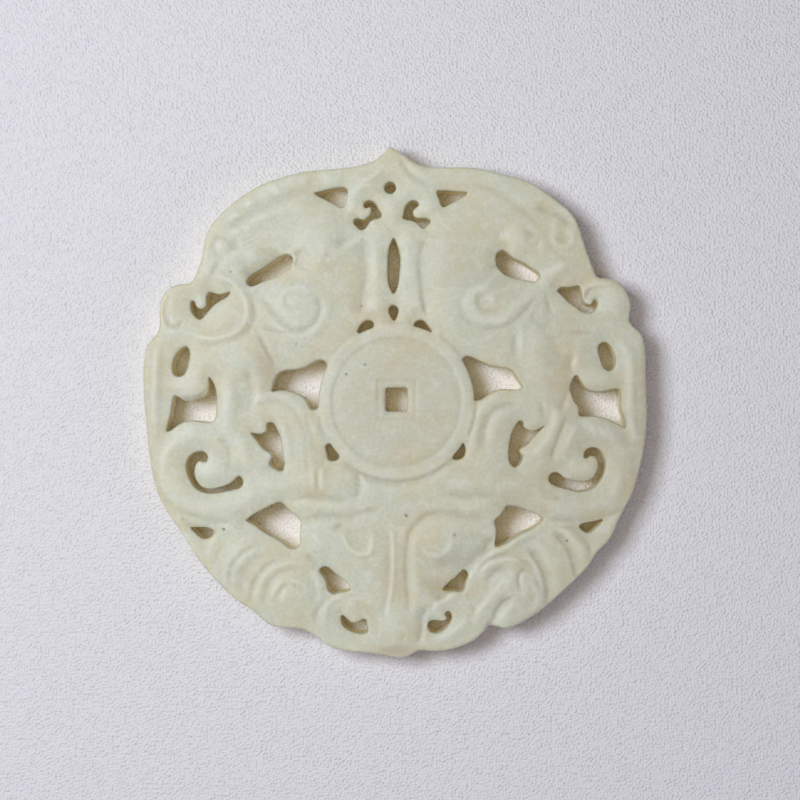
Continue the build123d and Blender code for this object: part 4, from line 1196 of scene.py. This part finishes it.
colour = linear(JADE_COLOURS["grey_green"])
for tone, source, start, end, least, most in TONES:
    amount = add_node(tree, "ShaderNodeMapRange", {
        "Value": sources[source], "From Min": start, "From Max": end, "To Min": least, "To Max": most})
    mix = add_node(tree, "ShaderNodeMix", {
        0: amount.outputs["Result"], 6: colour, 7: linear(JADE_COLOURS[tone])}, data_type="RGBA")
    colour = mix.outputs[2]
tree.links.new(colour, shader.inputs["Base Color"])
print(len(TONES), "tones over", JADE_COLOURS["grey_green"])

# %% [markdown]
# The gloss is that of hand-rubbed wax over stone, so it is soft and a little uneven. The felt leaves
# shallow dimples a few hundredths of a millimetre deep, which a bump of the same noises gives. Light that
# has sunk into the front also comes out warm in the narrow gaps. Scattering alone loses most of it there,
# so the walls of the gaps get the faintest glow of that colour.

# %% Polish the jade
FELT_DEPTH = 0.024
GRAIN_DEPTH = 0.013
FELT_RANGE = (0.3, 0.7)
ROUGHNESS = (0.46, 0.60)
JADE_IOR = 1.61
SCATTER_SHARES = (1.0, 0.80, 0.42)
SCATTER_DEPTH = {"front": 1.1, "wall": 0.9}
WALL_GLOW = 0.052
GLOW_COLOUR = "ffdf9c"

gloss = add_node(tree, "ShaderNodeMapRange", {
    "Value": sources["felt"], "From Min": FELT_RANGE[0], "From Max": FELT_RANGE[1],
    "To Min": ROUGHNESS[0], "To Max": ROUGHNESS[1]})
tree.links.new(gloss.outputs["Result"], shader.inputs["Roughness"])
felt = add_node(tree, "ShaderNodeBump", {
    "Height": sources["felt"], "Strength": 1.0, "Distance": FELT_DEPTH * MM})
grain = add_node(tree, "ShaderNodeBump", {
    "Height": sources["grain"], "Strength": 1.0, "Distance": GRAIN_DEPTH * MM,
    "Normal": felt.outputs["Normal"]})
tree.links.new(grain.outputs["Normal"], shader.inputs["Normal"])
shader.inputs["IOR"].default_value = JADE_IOR
shader.inputs["Subsurface Weight"].default_value = 1.0
shader.inputs["Subsurface Radius"].default_value = SCATTER_SHARES
depth = add_node(tree, "ShaderNodeMapRange", {
    "Value": sources["wall"], "To Min": SCATTER_DEPTH["front"] * MM, "To Max": SCATTER_DEPTH["wall"] * MM})
tree.links.new(depth.outputs["Result"], shader.inputs["Subsurface Scale"])
shine = add_node(tree, "ShaderNodeMapRange", {"Value": sources["glow"], "To Min": 0.0, "To Max": WALL_GLOW})
tree.links.new(shine.outputs["Result"], shader.inputs["Emission Strength"])
shader.inputs["Emission Color"].default_value = linear(GLOW_COLOUR)
print("jade has", len(tree.nodes), "nodes")

# %% [markdown]
# The carved disc now wears its jade and takes the place of the plain CAD disc. It is one stone and nothing
# on it moves, so it rides on the root.

# %% Put the carved disc in its place
mesh.materials.clear()
mesh.materials.append(jade)
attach(disc, "root")
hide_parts("jade_disc")
print(disc.name, "wears", mesh.materials[0].name)

# %% [markdown]
# ## The table
# The disc lies on pale, matt card with a fine pebbled emboss, about a third of a millimetre across. A
# bump of one plain noise gives that grain, and the lilac in the photo comes from the light, not the card.

# %% Lay the floor
FLOOR_SIZE = 3.0
PEBBLE_SIZE = 0.30
PEBBLE_DEPTH = 0.24
CARD_COLOUR = "e7e7e2"
CARD_ROUGHNESS = 0.85

bpy.ops.object.select_all(action="DESELECT")
bpy.ops.mesh.primitive_plane_add(size=FLOOR_SIZE, location=(0, 0, low.z))
floor = bpy.context.active_object
floor.name = "floor"
bpy.ops.object.transform_apply(location=True, rotation=False, scale=False)
card, tree, shader = new_material("matt_pale_card")
spot = add_node(tree, "ShaderNodeTexCoord").outputs["Object"]
pebble = add_node(tree, "ShaderNodeTexNoise", {
    "Vector": spot, "Scale": 1 / (PEBBLE_SIZE * MM), "Detail": 0})
emboss = add_node(tree, "ShaderNodeBump", {
    "Height": pebble.outputs["Fac"], "Strength": 1.0, "Distance": PEBBLE_DEPTH * MM})
tree.links.new(emboss.outputs["Normal"], shader.inputs["Normal"])
shader.inputs["Base Color"].default_value = linear(CARD_COLOUR)
shader.inputs["Roughness"].default_value = CARD_ROUGHNESS
floor.data.materials.append(card)
print("floor is", FLOOR_SIZE, "m wide")

# %% [markdown]
# ## Light
# The shadows fall to the lower right and soften over a few millimetres, so a soft cool key light stands at
# the upper left, about 60 degrees up. A warmer one hangs almost overhead and reaches into the gaps. A faint
# lilac light from the lower right fills the shade.

# %% Hang the lights
LIGHTS = {
    "key": {"turn": 161, "height": 63, "away": 0.34, "size": 0.12, "power": 0.90, "colour": "e8ecff"},
    "overhead": {"turn": 160, "height": 83, "away": 0.36, "size": 0.18, "power": 0.22, "colour": "ffeec8"},
    "fill": {"turn": -30, "height": 27, "away": 0.45, "size": 0.30, "power": 0.40, "colour": "dcd4ff"},
}
for name, light in LIGHTS.items():
    turn, height = math.radians(light["turn"]), math.radians(light["height"])
    way = Vector((math.cos(height) * math.cos(turn), math.cos(height) * math.sin(turn), math.sin(height)))
    bpy.ops.object.light_add(type="AREA", location=way * light["away"])
    lamp = bpy.context.active_object
    lamp.name = name
    lamp.data.shape = "SQUARE"
    lamp.data.size = light["size"]
    lamp.data.energy = light["power"]
    lamp.data.color = linear(light["colour"])[:3]
    lamp.rotation_euler = way.to_track_quat("Z", "Y").to_euler()
print(len(LIGHTS), "lights")

# %% [markdown]
# A pale room gives the light that comes from all round. The plain Standard view keeps the pale stone as
# bright as its hex colours say, where a filmic one would grey it.

# %% Light the room
ROOM_STRENGTH = 0.13
ROOM_COLOUR = "ebe6ff"

room = bpy.data.worlds.new("pale_room")
room.use_nodes = True
room.node_tree.nodes["Background"].inputs["Color"].default_value = linear(ROOM_COLOUR)
room.node_tree.nodes["Background"].inputs["Strength"].default_value = ROOM_STRENGTH
bpy.context.scene.world = room
bpy.context.scene.view_settings.view_transform = "Standard"
print("room of strength", ROOM_STRENGTH)

# %% [markdown]
# ## Camera
# The camera looks straight down with a long lens, as for a catalogue, so the walls of the gaps show only
# towards the rim. The lens is worked out from the width that the picture takes in.

# %% Place the camera
SEEN_WIDTH = 95.1
CAMERA_AWAY = 290
CAMERA_MIDDLE = (0.57, 0.26)
SENSOR_WIDTH = 36

stands = (CAMERA_MIDDLE[0] * MM, CAMERA_MIDDLE[1] * MM, (CAMERA_AWAY + thickness) * MM)
bpy.ops.object.camera_add(location=stands, rotation=(0, 0, 0))
camera = bpy.context.active_object
camera.name = "camera"
camera.data.sensor_width = SENSOR_WIDTH
camera.data.lens = SENSOR_WIDTH * CAMERA_AWAY / SEEN_WIDTH
camera.data.clip_start = 0.01
bpy.context.scene.camera = camera
print("lens", round(camera.data.lens, 1), "mm")
